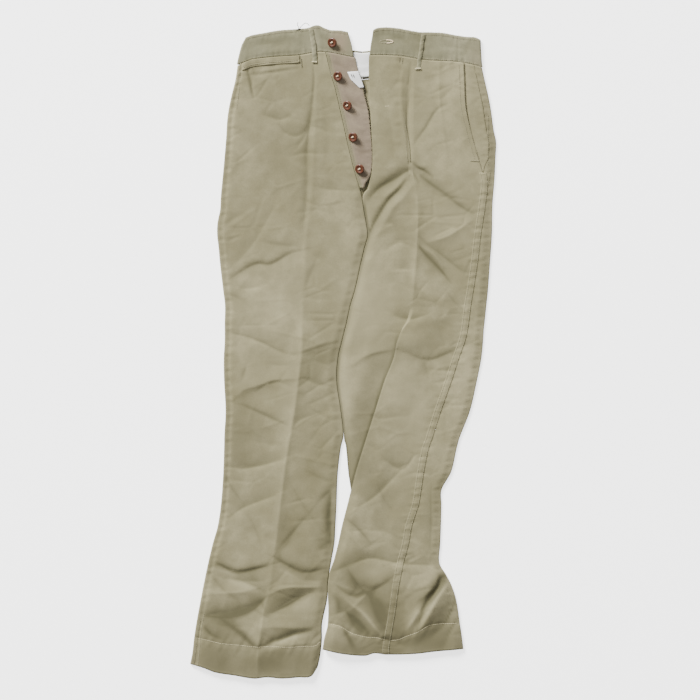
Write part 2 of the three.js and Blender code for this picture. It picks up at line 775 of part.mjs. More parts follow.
function add(name, geometry, colour) {
  const material = new THREE.MeshStandardMaterial({ color: colour, roughness: 0.9, metalness: 0 });
  const mesh = new THREE.Mesh(geometry, material);
  mesh.name = name;
  group.add(mesh);
}

add("front_right", wall(frontRight.outer, frontRight.inner), COLOURS.twill);
add("front_left", wall(frontLeft.outer, frontLeft.inner), COLOURS.twill);
add("back_right", wall(backRight.outer, backRight.inner), COLOURS.twill);
add("back_left", wall(backLeft.outer, backLeft.inner), COLOURS.twill);
add("waistband_right", bandRight, COLOURS.twill);
add("waistband_left", bandLeft, COLOURS.twill);
add("waistband_lining", lining, COLOURS.white);
add("button_stand", stand, COLOURS.shade);
add("buttonhole_facing", facingFly, COLOURS.shade);
add("pocket_facing_left", facingSide, COLOURS.twill);
add("outseam_fell_left", fell, COLOURS.twill);
add("watch_pocket_welt", welt, COLOURS.twill);
add("belt_loop_right", loopRight, COLOURS.twill);
add("belt_loop_left", loopLeft, COLOURS.twill);
add("tag", tag, COLOURS.white);
BUTTONS.rows.forEach(([down, x], n) => {
  const on = n === 0 ? 5.8 : standTop(x, down);
  add(`button_${n + 1}`, button(x, down, on), COLOURS.button);
});

// The origin is at the middle of the garment, on the surface that it lies on.
const middle = new THREE.Box3().setFromObject(group).getCenter(new THREE.Vector3());
group.position.set(-middle.x, LENGTH / 2, 0);

export default group;
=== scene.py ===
import math

import bpy
import numpy as np
from mathutils import Matrix, Vector, noise


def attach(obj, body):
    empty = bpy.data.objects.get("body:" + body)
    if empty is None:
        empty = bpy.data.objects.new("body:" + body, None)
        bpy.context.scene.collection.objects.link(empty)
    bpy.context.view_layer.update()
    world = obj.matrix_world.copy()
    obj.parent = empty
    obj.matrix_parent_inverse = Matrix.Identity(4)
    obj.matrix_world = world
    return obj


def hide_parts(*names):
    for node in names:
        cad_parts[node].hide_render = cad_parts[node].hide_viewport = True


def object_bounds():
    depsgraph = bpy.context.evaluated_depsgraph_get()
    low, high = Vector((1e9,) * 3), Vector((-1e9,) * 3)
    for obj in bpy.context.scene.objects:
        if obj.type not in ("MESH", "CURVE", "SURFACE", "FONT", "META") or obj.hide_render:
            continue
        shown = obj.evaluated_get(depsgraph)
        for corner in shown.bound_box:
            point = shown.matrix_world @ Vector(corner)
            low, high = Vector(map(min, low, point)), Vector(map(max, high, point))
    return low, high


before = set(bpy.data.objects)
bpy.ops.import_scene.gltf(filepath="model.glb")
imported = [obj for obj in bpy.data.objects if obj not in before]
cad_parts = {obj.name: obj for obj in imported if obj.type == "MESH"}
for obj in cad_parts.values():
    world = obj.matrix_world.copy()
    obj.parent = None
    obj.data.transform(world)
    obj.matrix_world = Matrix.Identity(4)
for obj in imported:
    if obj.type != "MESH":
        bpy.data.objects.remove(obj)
solid_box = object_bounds()

# Right front
# A panel of middle-weight cotton twill, pressed with a crease down its middle. It rolls over the side
# to the surface, is felled to the back at the outside seam, and is turned up and sewn at the hem.

# Lengths are millimetres, x from the middle of the garment and down from the top of the waistband.
# A table is read by the name of a column, and its rows are joined by smooth curves.
LENGTH = 1089
WAIST_ROW = 60
CROTCH = 275
RIGHT_HEM = 1062
HEM_DEPTH = 43
CLOTH = 1.0
HEM_CLOTH = 1.8
SEAM_GAP = 0.4


def table(names, rows):
    """Rows of numbers under named columns, of which the first is the one to look up."""
    return names.split(), np.array(rows, dtype=float)


def at(tab, name, value):
    """A column's value on the smooth curve through the table's rows."""
    names, rows = tab
    keys, column = rows[:, 0], rows[:, names.index(name)]
    value = np.clip(value, keys[0], keys[-1])
    i = np.clip(np.searchsorted(keys, value, side="right") - 1, 0, len(keys) - 2)
    before, after = np.maximum(i - 1, 0), np.minimum(i + 2, len(keys) - 1)
    span = keys[i + 1] - keys[i]
    t = (value - keys[i]) / span
    start = (column[i + 1] - column[before]) / (keys[i + 1] - keys[before]) * span
    end = (column[after] - column[i]) / (keys[after] - keys[i]) * span
    near = (1 + 2 * t) * (1 - t) ** 2
    return near * column[i] + (1 - near) * column[i + 1] + t * (1 - t) * ((1 - t) * start - t * end)


def straight(tab, name, value):
    """A column's value on straight lines from row to row."""
    names, rows = tab
    return np.interp(value, rows[:, 0], rows[:, names.index(name)])


def ease(t):
    """From 0 to 1 with a soft start and end."""
    t = np.clip(t, 0, 1)
    return t * t * (3 - 2 * t)


# The two edges of the right leg, at 5/3 mm to a pixel of the photograph.
RIGHT = table("down outer inner", [
    [60, -176, -29],
    [85, -179.5, -22],
    [117, -186.5, -11],
    [153, -192.7, -2],
    [187, -195, 5.5],
    [217, -197.5, 12.5],
    [250, -200.5, 21],
    [270, -202.5, 27.5],
    [287, -204, 32],
    [307, -205, 35],
    [330, -209.5, 39],
    [350, -210, 41.5],
    [372, -207.5, 36],
    [395, -205.5, 30.5],
    [442, -200, 20],
    [467, -197, 12.5],
    [497, -197.5, 6],
    [527, -197.5, -1.5],
    [555, -199, -8],
    [592, -198.5, -10],
    [643, -196, -3],
    [683, -198, 1],
    [705, -198.5, -3.5],
    [750, -200, -8.7],
    [802, -204, -10.7],
    [837, -209.5, -12.5],
    [863, -217, -14],
    [892, -224, -19],
    [927, -231.5, -24.6],
    [958, -237.5, -26.4],
    [995, -244.5, -34.5],
    [1020, -248.5, -35],
    [1045, -251.5, -38],
    [1062, -255, -42],
])
# How high a leg's edges lie over the surface, and how much higher its middle is.
LEVELS = table("down edge loft", [
    [60, 5.8, 0],
    [90, 5.2, 0.8],
    [150, 4.0, 1.8],
    [210, 3.4, 2.3],
    [900, 3.4, 2.3],
    [990, 4.6, 2.8],
    [1062, 4.6, 2.8],
])
# The inside edge of a front: flat at the fly, turned down at the crotch, round to the floor below it.
INNER_EDGE = table("down turn run end", [
    [262, 0.02, 3, 0.6],
    [290, math.pi / 2, 2.6, 0.2],
    [312, math.pi, math.pi * 1.7, 2],
])
# How far the hem hangs below its row, from the outside edge to the inside one.
HEM_RIGHT_DROP = table("across drop", [
    [0, 3], [0.1, 9], [0.2, 17], [0.35, 22], [0.5, 27], [0.6, 25], [0.72, 27], [0.85, 25], [0.95, 23],
    [1, 8],
])
# The waistband's upper edge and its seam.
BAND_RIGHT = table("x top seam", [
    [-175, 22, 65],
    [-162, 20.3, 61],
    [-153, 17, 57.5],
    [-132, 13, 54.5],
    [-107, 8.7, 52.3],
    [-77, 6.5, 50.5],
    [-58, 4.5, 47.5],
    [-48, 0.6, 45.5],
    [-40, 0.4, 44.5],
    [-32, 4.2, 44.8],
    [-22, 7.9, 45.6],
    [-4, 8.9, 49],
    [7, 11, 51.5],
    [18, 12, 53.3],
])

# Each fold is a soft ridge or trough along a path of (x, down) points, with its height, width and lean.
# Heights below 0 are troughs. Where it leans, one side is steep and the other a long slope.
# FOLD_LINE is how wide the painted shade and painted highlight run along each fold's line.
FOLD_LINE = 1.9
RIGHT_FOLDS = [
    (0.8, 5, 0, [(-46, 66), (-45, 130), (-49, 205), (-53, 290), (-61, 353), (-65, 438), (-69, 535)]),
    (-1.5, 2.5, 0.2, [(-49.5, 66), (-48, 90), (-49.5, 110), (-51, 130)]),
    (-2.3, 6, 0.2, [(-51, 124), (-54, 150), (-58, 178), (-60, 200), (-62, 232)]),
    (-1.6, 6, 0.1, [(-60, 225), (-61, 260), (-63, 300), (-68, 345)]),
    (-1.6, 5, 0.4, [(-133, 149), (-118, 154), (-104, 157), (-89, 152)]),
    (-1.7, 5, 0.4, [(-106, 166), (-95, 179), (-78, 185), (-62, 176)]),
    (-1.5, 4, 0.3, [(-78, 206), (-67, 190), (-57, 170)]),
    (-1.3, 4, 0.3, [(-84, 218), (-62, 213), (-36, 215)]),
    (-1.3, 5, 0.4, [(-51, 168), (-36, 173), (-24, 179)]),
    (0.9, 3, 0, [(-155, 79), (-120, 74.5), (-75, 68)]),
    (-1.0, 2.2, 0.2, [(-150, 84.5), (-120, 79.5), (-75, 73)]),
    (1.5, 6, 0, [(-69, 500), (-69, 543), (-75, 591), (-84, 658), (-95, 721), (-105, 798), (-116, 888),
                 (-124, 948)]),
    (1.8, 30, 0, [(-69, 500), (-75, 591), (-84, 658), (-95, 721), (-105, 798), (-116, 888)]),
    (2.2, 9, 0, [(-124, 940), (-134, 985), (-142, 1040), (-144, 1085)]),
    (-1.6, 8, 0.3, [(-40, 271), (-8, 274), (22, 276)]),
    (-1.5, 9, -0.4, [(-113, 298), (-147, 358), (-177, 395)]),
    (-2.1, 7, 0.5, [(-70, 375), (-90, 381), (-120, 398), (-147, 398), (-185, 420)]),
    (-1.2, 7, -0.3, [(-137, 360), (-108, 366), (-78, 368)]),
    (-1.2, 9, 0.3, [(-200, 336), (-182, 322), (-167, 315)]),
    (-1.4, 6, 0.4, [(-170, 438), (-154, 438), (-138, 435)]),
    (-1.4, 7, -0.3, [(-193, 450), (-180, 452), (-167, 460)]),
    (-1.2, 6, 0.3, [(-52, 380), (-30, 396)]),
    (-1.3, 8, 0.4, [(-45, 390), (-63, 438)]),
    (-1.0, 6, 0.2, [(-63, 453), (-35, 458)]),
    (-2.0, 7, 0.4, [(-187, 513), (-153, 520), (-121, 534), (-102, 543), (-72, 551)]),
    (1.3, 6, 0.5, [(-72, 544), (-35, 531), (-10, 525)]),
    (-1.6, 15, 0, [(-128, 565), (-90, 566)]),
    (1.9, 8, 0.5, [(-176, 618), (-165, 607), (-141, 600), (-120, 592), (-108, 590), (-76, 589)]),
    (-1.5, 6, 0.3, [(-66, 588), (-55, 593), (-44, 598), (-30, 601)]),
    (-1.2, 5, 0.3, [(-192, 588), (-180, 603)]),
    (-1.1, 5, 0.3, [(-160, 564), (-165, 581), (-170, 596)]),
    (-1.7, 6, -0.4, [(-168, 633), (-127, 651), (-90, 668)]),
    (-1.6, 7, 0.4, [(-87, 678), (-75, 660), (-52, 650), (-23, 641)]),
    (-2.2, 7, 0.4, [(-195, 735), (-165, 738), (-132, 732), (-100, 723)]),
    (-1.8, 9, -0.4, [(-197, 748), (-185, 772), (-165, 798)]),
    (-2.0, 7, 0.4, [(-190, 821), (-165, 803), (-112, 783)]),
    (-1.6, 9, -0.3, [(-158, 815), (-145, 842), (-133, 873)]),
    (-1.1, 6, 0.3, [(-130, 850), (-115, 863)]),
    (-1.3, 7, -0.3, [(-57, 745), (-36, 756), (-15, 763)]),
    (-1.5, 8, 0.4, [(-12, 768), (-26, 780), (-42, 796)]),
    (-2.6, 8, 0, [(-21, 778), (-22, 820), (-21, 868)]),
    (-1.4, 8, -0.3, [(-90, 760), (-66, 800), (-33, 846)]),
    (-1.6, 8, 0.4, [(-63, 821), (-84, 846), (-108, 875)]),
    (-2.8, 8, -0.5, [(-212, 896), (-173, 911), (-125, 900)]),
    (-1.6, 7, 0.3, [(-202, 921), (-165, 926), (-132, 926)]),
    (-1.8, 9, -0.4, [(-225, 910), (-202, 938), (-173, 961)]),
    (-1.8, 8, -0.3, [(-173, 925), (-148, 934), (-125, 948)]),
    (-5.4, 12, 0.2, [(-236, 984), (-208, 987), (-183, 986), (-160, 978), (-142, 967), (-126, 950)]),
    (2.6, 13, 0, [(-222, 946), (-190, 946), (-160, 942), (-140, 936)]),
    (-1.4, 6, 0.3, [(-210, 999), (-162, 1003)]),
    (-4.6, 9, -0.2, [(-205, 989), (-182, 1006), (-162, 1024), (-144, 1040)]),
    (-2.6, 8, 0.3, [(-232, 1001), (-219, 1016), (-197, 1024)]),
    (3.2, 9, 0, [(-124, 949), (-106, 940), (-86, 936), (-66, 936), (-42, 936)]),
    (-4.4, 10, 0, [(-50, 944), (-72, 954), (-92, 966), (-120, 980)]),
    (1.8, 7, 0, [(-134, 1004), (-110, 1002), (-82, 1004), (-55, 1003)]),
    (-3.8, 8, 0.1, [(-139, 1039), (-118, 1027), (-100, 1022), (-78, 1014), (-52, 1008)]),
    (2.0, 8, 0, [(-120, 1040), (-95, 1034), (-65, 1030)]),
    (-1.5, 5, 0.3, [(-65, 925), (-39, 926)]),
    (-1.5, 4, 0.3, [(-136, 962), (-130, 975), (-121, 984)]),
    (-1.4, 4, -0.3, [(-145, 975), (-133, 984), (-120, 988)]),
    (-2.2, 8, 0.3, [(-58, 1038), (-50, 1022), (-37, 1011)]),
    (-2.6, 9, -0.4, [(-113, 888), (-67, 911), (-28, 905)]),
    (-2.6, 2.2, 0.2, [(-159, 75), (-155, 92), (-152.5, 106), (-149, 121)]),
    (-1.4, 3, 0, [(-150, 73), (-144, 85)]),
    (-1.0, 7, 0.3, [(-120, 120), (-95, 150), (-70, 160)]),
    (-0.9, 8, -0.3, [(-170, 180), (-140, 215), (-120, 260)]),
    (-0.8, 9, 0.3, [(-30, 150), (-25, 200), (-32, 250)]),
    (-1.0, 8, 0.3, [(-110, 470), (-85, 490), (-75, 520)]),
    (-0.9, 8, 0.3, [(-150, 690), (-120, 700), (-100, 700)]),
]

# Painted shade where folds are so deep that little light gets in, and painted highlight along lit
# ridges: the shade, its width, its lean and its path.
RIGHT_SHADE_AND_LIGHT = [
    (-0.8, 8, 0, [(-131, 955), (-142, 963), (-154, 971), (-172, 978), (-190, 982), (-213, 982)]),
    (-0.65, 9, 0, [(-118, 962), (-102, 957), (-82, 949), (-61, 942)]),
    (-0.9, 3.2, 0, [(-197, 993), (-182, 1005), (-166, 1016), (-144, 1038)]),
    (-0.75, 5, 0, [(-134, 1034), (-110, 1022), (-86, 1012), (-55, 1007)]),
    (-0.6, 4, 0, [(-231, 1005), (-215, 1019), (-199, 1026)]),
    (-0.35, 11, 0, [(-176, 916), (-150, 923), (-128, 940)]),
    (-0.8, 2.6, 0, [(-223, 903), (-207, 899), (-194, 906), (-182, 913), (-158, 909), (-122, 900)]),
    (-0.6, 4, 0, [(-110, 890), (-90, 900), (-71, 911), (-51, 909), (-23, 904)]),
    (-0.5, 8, 0, [(-94, 812), (-98, 832), (-103, 856)]),
    (-0.55, 4, 0, [(-82, 844), (-94, 864), (-106, 878), (-104, 890)]),
    (-0.4, 8, 0, [(-50, 850), (-26, 862)]),
    (-0.5, 6, 0, [(-137, 1050), (-135, 1074)]),
    (-0.35, 6, 0, [(-82, 1078), (-61, 1046)]),
    (-0.4, 6, 0, [(-215, 1076), (-184, 1046)]),
    (-0.45, 5, 0, [(-141, 1040), (-128, 1044), (-118, 1050)]),
    (-0.35, 14, 0, [(-62, 560), (-30, 552), (-5, 548)]),
    (-0.25, 16, 0, [(-60, 592), (-32, 590)]),
    (-0.45, 5, 0, [(-172, 624), (-160, 613), (-145, 607), (-128, 602), (-112, 597)]),
    (-0.4, 1.8, 0, [(-70, 547), (-35, 535), (-12, 529)]),
    (-0.6, 1.8, 0, [(-182, 513), (-153, 521), (-121, 535), (-100, 546), (-74, 552)]),
    (-0.25, 1.8, 0, [(-160, 635), (-127, 651), (-92, 667)]),
    (-0.24, 14, 0.9, [(-68, 480), (-69, 543), (-75, 591), (-84, 658), (-95, 721)]),
    (0.22, 14, -0.9, [(-68, 480), (-69, 543), (-75, 591), (-84, 658), (-95, 721)]),
    (-0.5, 1.8, 0, [(-82, 674), (-55, 655), (-27, 645)]),
    (-0.85, 7, 0, [(-24, 782), (-26, 820), (-25, 864)]),
    (-0.6, 6, 0, [(-42, 872), (-28, 864)]),
    (0.6, 7, 0, [(-190, 925), (-165, 934), (-140, 944)]),
    (0.6, 4, 0, [(-214, 907), (-192, 912), (-175, 918)]),
    (0.6, 6, 0, [(-108, 906), (-92, 914), (-76, 922)]),
    (0.5, 12, 0, [(-46, 948), (-64, 962), (-84, 976)]),
    (0.6, 7, 0, [(-172, 1000), (-156, 1010), (-142, 1026)]),
    (0.8, 4, 0, [(-134, 1040), (-108, 1030), (-82, 1020), (-53, 1016)]),
]


def rounded(path, steps=4):
    """The path's points joined by smooth curves."""
    points = np.array(path, dtype=float)
    keys = np.linspace(0, 1, len(points))
    fine = np.linspace(0, 1, (len(points) - 1) * steps + 1)
    columns = [at((["t", "v"], np.column_stack([keys, points[:, k]])), "v", fine) for k in (0, 1)]
    return np.column_stack(columns)


def folds(x, down, rows):
    """What a table of folds adds to the cloth's height, and its painted shade and highlight along each line.
    """
    total = np.zeros_like(x)
    line = np.zeros_like(x)
    for height, width, lean, path in rows:
        points = rounded(path) if len(path) > 2 else np.array(path, dtype=float)
        low, high = points.min(axis=0) - 4 * width, points.max(axis=0) + 4 * width
        near = (x > low[0]) & (x < high[0]) & (down > low[1]) & (down < high[1])
        if not near.any():
            continue
        px, py = x[near], down[near]
        steps = np.hypot(*np.diff(points, axis=0).T)
        done = np.concatenate([[0], np.cumsum(steps)])
        best = np.full(px.shape, 1e9)
        away = np.zeros_like(px)
        along = np.zeros_like(px)
        for k in range(len(steps)):
            ux, uy = (points[k + 1] - points[k]) / steps[k]
            rx, ry = px - points[k][0], py - points[k][1]
            t = np.clip(rx * ux + ry * uy, 0, steps[k])
            distance = np.hypot(rx - t * ux, ry - t * uy)
            closer = distance < best
            best = np.where(closer, distance, best)
            away = np.where(closer, np.sign(rx * uy - ry * ux) * distance, away)
            along = np.where(closer, (done[k] + t) / done[-1], along)
        taper = 0.2 + 0.8 * np.sin(math.pi * np.clip(0.06 + 0.88 * along, 0, 1)) ** 0.8
        slope = width * np.where(away * lean > 0, 1 + 2.0 * abs(lean), 1 - 0.95 * abs(lean))
        total[near] += height * taper * np.exp(-((best / slope) ** 1.2))
        strength = math.copysign(min(max((abs(height) - 0.8) / 2.0, 0), 1), height)
        line[near] += strength * taper * np.exp(-((best / FOLD_LINE) ** 2))
    return total, np.clip(line, -1, 1)


def right_inner(down):
    """The inside edge of the right leg."""
    return at(RIGHT, "inner", down)


EDGE_SOFT = 16


def softness(x, down, outer, inner):
    """0 at a leg's edges, where folds fade out, and 1 away from them. The fly's edge isn't one."""
    legs = ease((down - CROTCH + 20) / 45)
    from_inner = np.abs(x - inner) + (1 - legs) * EDGE_SOFT
    return ease(np.abs(x - outer) / EDGE_SOFT) * ease(from_inner / EDGE_SOFT)


def rumple(x, down, size, seed):
    """Shallow unevenness of worn cloth, from -1 to 1, with lumps of about that size."""
    flat = [noise.noise(Vector((a / size, b / size, seed))) for a, b in zip(x.ravel(), down.ravel())]
    return np.array(flat).reshape(x.shape)


def crumple(x, down, size, seed):
    """Fine straight creases, where worn cloth has been crushed and lies in small facets, from 0 to 1."""
    near = []
    for a, b in zip(x.ravel(), down.ravel()):
        first, second = noise.voronoi(Vector((a / size + 0.3 * b / size, 1.6 * b / size, seed)))[0][:2]
        near.append(second - first)
    place = np.clip(rumple(x, down, 70, seed + 4) * 2.4 + 0.1, 0, 1)
    return place * np.exp(-((np.array(near).reshape(x.shape) / 0.07) ** 1.2))


def edge_height(down):
    """The height of a leg's side edges over the surface."""
    return at(LEVELS, "edge", down)


def lift(x, down, leg, place=None):
    """The cloth's height over its side edges. A point's folds are those of its place down the leg."""
    outer, inner = leg["outer"](down), leg["inner"](down)
    beyond = ((x - inner) * leg["side"] > 0) & (down > CROTCH)
    place = down if place is None else place
    seed = leg["seed"]
    shape = at(LEVELS, "loft", down) + folds(x, place, leg["folds"])[0]
    shape += 0.7 * rumple(x, down, 46, seed) + 0.22 * rumple(x, down, 15, seed + 2)
    shape += 0.45 * crumple(x, down, 80, seed + 6) - 0.65 * crumple(x, down, 58, seed + 9)
    return np.where(beyond, 0, softness(x, down, outer, inner) * np.maximum(shape, -0.6))


# the right hem reaches 255 mm left of the garment's middle, which is the left side of the box
SHIFT = solid_box[0][0] * 1000 + 255


def metres(points):
    """Points of (x, down, height) in millimetres as places in the frame."""
    points = np.asarray(points, dtype=float)
    return np.stack([
        (points[..., 0] + SHIFT) / 1000,
        (LENGTH / 2 - points[..., 1]) / 1000,
        points[..., 2] / 1000,
    ], axis=-1)


# Where the cloth is paler, above 0, or darker, below 0, in soft patches: rubbed and soiled places, darker
# hems, and painted shade on the layer under the left crease and on the right leg's outer slope. The middle
# of each, its half width and half height, and how strong it is.
TONES_AND_SHADE = [
    (-120, 210, 70, 110, -0.3),
    (-4, 27, 15, 22, -1.0),
    (-146, 316, 60, 40, 0.3),
    (-138, 491, 60, 70, 0.42),
    (-60, 420, 50, 60, 0.2),
    (-150, 676, 32, 30, -0.6),
    (-178, 700, 18, 40, -0.5),
    (-60, 640, 34, 80, 0.15),
    (-165, 850, 60, 60, 0.1),
    (-40, 840, 26, 90, -0.1),
    (-60, 930, 60, 28, -0.5),
    (-190, 1000, 60, 34, -0.35),
    (-140, 1062, 130, 36, -1.05),
    (160, 160, 60, 80, 0.15),
    (178, 325, 46, 60, 0.35),
    (45, 458, 44, 90, 0.55),
    (4, 600, 14, 90, 0.35),
    (46, 640, 20, 60, -0.35),
    (26, 730, 18, 70, -0.35),
    (104, 640, 46, 110, 0.5),
    (-42, 560, 26, 120, -0.2),
    (150, 480, 40, 50, -0.15),
    (150, 600, 40, 50, -0.1),
    (20, 820, 40, 60, 0.1),
    (150, 800, 30, 90, -0.1),
    (84, 985, 26, 50, -0.6),
    (150, 1032, 90, 30, -0.85),
    (40, 960, 66, 56, -0.35),
    (222, 110, 16, 70, -0.45),
    (20, 1045, 60, 26, -0.6),
    (-196, 200, 11, 190, -0.3),
    (-203, 640, 11, 260, -0.25),
]


def tones_and_shade(x, down):
    """How pale or dark the cloth is at a place, from rubbing, soiling and painted shade, broken up a little.
    """
    total = np.zeros_like(x)
    for across, along, width, height, amount in TONES_AND_SHADE:
        total += amount * np.exp(-(((x - across) / width) ** 2) - ((down - along) / height) ** 2)
    return total * (0.8 + 0.5 * rumple(x, down, 60, 12.0))


def cloth_piece(name, face, back, fold=None, wear_and_painted_light=None):
    """A closed wall of cloth between two grids, with the painted shade of its folds, and its wear and soiling
    with painted highlight and shade.
    """
    rows, columns = face.shape[:2]
    ids = np.arange(rows * columns).reshape(rows, columns)
    a, b, c, d = ids[:-1, :-1], ids[:-1, 1:], ids[1:, 1:], ids[1:, :-1]
    front = np.stack([a, b, c, d], axis=-1).reshape(-1, 4)
    rear = front[:, ::-1] + rows * columns
    rim = np.concatenate([ids[0, :-1], ids[:-1, -1], ids[-1, :0:-1], ids[:0:-1, 0]])
    turn = np.roll(rim, -1)
    edge = np.stack([turn, rim, rim + rows * columns, turn + rows * columns], axis=-1)
    quads = np.concatenate([front, rear, edge])
    points = metres(np.concatenate([face.reshape(-1, 3), back.reshape(-1, 3)]))
    mesh = bpy.data.meshes.new(name)
    mesh.from_pydata(points.tolist(), [], quads.tolist())
    wear_and_painted_light = (0 if wear_and_painted_light is None else wear_and_painted_light) + tones_and_shade(face[..., 0], face[..., 1])
    for label, values in (("fold", fold), ("wear_and_painted_light", wear_and_painted_light)):
        values = np.zeros((rows, columns)) if values is None else values
        store = mesh.attributes.new(label, "FLOAT", "POINT")
        store.data.foreach_set("value", np.tile(values.ravel(), 2).astype(np.float32))
    mesh.update()
    piece = bpy.data.objects.new(name, mesh)
    bpy.context.collection.objects.link(piece)
    corner = points[quads[:, 0]]
    normal = np.cross(points[quads[:, 1]] - corner, points[quads[:, 2]] - corner)
    normal += np.cross(points[quads[:, 2]] - corner, points[quads[:, 3]] - corner)
    if (corner * normal).sum() < 0:
        mesh.flip_normals()
    mesh.shade_smooth()
    return piece


def linear(code):
    """An sRGB hex colour as the linear one that Blender takes."""
    parts = [int(code[k:k + 2], 16) / 255 for k in (1, 3, 5)]
    return [v / 12.92 if v <= 0.04045 else ((v + 0.055) / 1.055) ** 2.4 for v in parts] + [1]


def add_node(material, kind, settings=None, links=None):
    """Adds a node with its settings and with the sockets that feed it."""
    node = material.node_tree.nodes.new(kind)
    for key, value in (settings or {}).items():
        if isinstance(key, str) and hasattr(node, key):
            setattr(node, key, value)
        else:
            node.inputs[key].default_value = value
    for key, source in (links or {}).items():
        material.node_tree.links.new(source, node.inputs[key])
    return node


def twill(name, pale, middle, dark, fold_dark, grime_and_shade, ribs=0.35):
    """Undyed-looking cotton twill, woven in a diagonal rib and washed soft, so it is quite matt."""
    material = bpy.data.materials.new(name)
    material.use_nodes = True
    tree = material.node_tree
    surface = tree.nodes["Principled BSDF"]
    surface.inputs["Roughness"].default_value = 0.92
    surface.inputs["IOR"].default_value = 1.5
    surface.inputs["Specular IOR Level"].default_value = 0.25
    surface.inputs["Sheen Weight"].default_value = 0.12
    surface.inputs["Sheen Roughness"].default_value = 0.5
    place = add_node(material, "ShaderNodeTexCoord").outputs["Object"]
    broad = add_node(material, "ShaderNodeTexNoise", {"Scale": 7.0, "Detail": 4.0, "Roughness": 0.55},
                     {"Vector": place}).outputs["Fac"]
    blotch = add_node(material, "ShaderNodeTexNoise", {"Scale": 42.0, "Detail": 5.0, "Roughness": 0.6},
                      {"Vector": place}).outputs["Fac"]
    # single yarns, about 1 mm apart so that they show
    yarn = add_node(material, "ShaderNodeTexNoise", {"Scale": 620.0, "Detail": 2.0, "Roughness": 0.6},
                    {"Vector": place}).outputs["Fac"]
    fade = add_node(material, "ShaderNodeMath", {"operation": "MULTIPLY_ADD", 1: 0.5}, {0: blotch, 2: broad})
    ramp = add_node(material, "ShaderNodeValToRGB", {}, {"Fac": fade.outputs[0]})
    ramp.color_ramp.elements[0].position = 0.5
    ramp.color_ramp.elements[0].color = linear(dark)
    ramp.color_ramp.elements[1].position = 1.0
    ramp.color_ramp.elements[1].color = linear(pale)
    ramp.color_ramp.elements.new(0.75).color = linear(middle)
    speck = add_node(material, "ShaderNodeMapRange", {"From Min": 0.3, "From Max": 0.7, "To Min": 0.93,
                                                      "To Max": 1.06}, {"Value": yarn})
    woven = add_node(material, "ShaderNodeMixRGB", {"blend_type": "MULTIPLY", "Fac": 1.0},
                     {"Color1": ramp.outputs["Color"], "Color2": speck.outputs[0]})
    # painted shade: an attribute mixes the fourth colour into troughs and along the lines of folds
    fold = add_node(material, "ShaderNodeAttribute", {"attribute_name": "fold"}).outputs["Fac"]
    painted_hollow_shade = add_node(material, "ShaderNodeMapRange", {"From Min": 0.0, "From Max": -1.0, "To Min": 0.0,
                                                       "To Max": 0.8}, {"Value": fold})
    shaded_in_folds = add_node(material, "ShaderNodeMixRGB", {"Color2": linear(fold_dark)},
                      {"Fac": painted_hollow_shade.outputs[0], "Color1": woven.outputs["Color"]})
    # an attribute pales rubbed places and painted highlights, and mixes the last colour into soiled places
    # and painted shade patches
    wear_and_painted_light = add_node(material, "ShaderNodeAttribute", {"attribute_name": "wear_and_painted_light"}).outputs["Fac"]
    paler = add_node(material, "ShaderNodeMapRange", {"From Min": 0.0, "From Max": 1.0}, {"Value": wear_and_painted_light})
    rubbed_and_lit = add_node(material, "ShaderNodeMixRGB", {"Color2": linear(pale)},
                      {"Fac": paler.outputs[0], "Color1": shaded_in_folds.outputs["Color"]})
    dirt_and_shade = add_node(material, "ShaderNodeMapRange", {"From Min": 0.0, "From Max": -1.0}, {"Value": wear_and_painted_light})
    grimy_and_shaded = add_node(material, "ShaderNodeMixRGB", {"Color2": linear(grime_and_shade)},
                     {"Fac": dirt_and_shade.outputs[0], "Color1": rubbed_and_lit.outputs["Color"]})
    tree.links.new(grimy_and_shaded.outputs["Color"], surface.inputs["Base Color"])
    # the twill's ribs, 1.5 mm apart, which is coarser than real ones so that they show
    rib = add_node(material, "ShaderNodeTexWave", {"wave_type": "BANDS", "bands_direction": "DIAGONAL",
                                                   "Scale": 300.0, "Distortion": 1.2, "Detail": 1.0},
                   {"Vector": place}).outputs["Fac"]
    relief = add_node(material, "ShaderNodeMixRGB", {"Fac": 0.5}, {"Color1": rib, "Color2": yarn})
    bump = add_node(material, "ShaderNodeBump", {"Strength": ribs, "Distance": 0.0003},
                    {"Height": relief.outputs["Color"]})
    slub = add_node(material, "ShaderNodeBump", {"Strength": 0.25, "Distance": 0.0012},
                    {"Height": blotch, "Normal": bump.outputs["Normal"]})
    tree.links.new(slub.outputs["Normal"], surface.inputs["Normal"])
    return material


# the fourth colour is the painted shade of folds, the last one that of soiling and of painted shade patches
khaki = twill("cotton_twill_khaki", "#938c6d", "#7c7659", "#706a4d", "#423f28", "#565139")


def walk(x, z, heading, side, steps):
    """A section walked over the cloth's face: straight runs, and turns of a given length of arc."""
    points = [(x, z, side * math.sin(heading), -side * math.cos(heading))]
    for run, turn, n in steps:
        angle = turn / n
        chord = run / n if abs(angle) < 1e-3 else 2 * (run / turn) * math.sin(angle / 2)
        for _ in range(n):
            x += chord * math.cos(heading + angle / 2)
            z += chord * math.sin(heading + angle / 2)
            heading += angle
            points.append((x, z, side * math.sin(heading), -side * math.cos(heading)))
    return points


def half_turn(down):
    """How much cloth it takes to turn over a leg's edge down to the surface."""
    return math.pi * float(edge_height(down)) / 2


# The front is open and flat beside the fly, and turned to the surface in a full round below it.
FLY_FOOT = 262
FLY_FADE = 19
INNER_ROUND = 312
FLOOR_RUN = 2


def inner_edge(down):
    """Turn, run and end of a front's inside edge, and how far its turn reaches sideways."""
    if down >= INNER_ROUND:
        radius = float(edge_height(down)) / 2
        return math.pi, half_turn(down), FLOOR_RUN, radius
    turn, run, end = (float(straight(INNER_EDGE, name, down)) for name in ("turn", "run", "end"))
    radius = run / turn
    return turn, run, end, radius if turn > math.pi / 2 else radius * math.sin(turn)


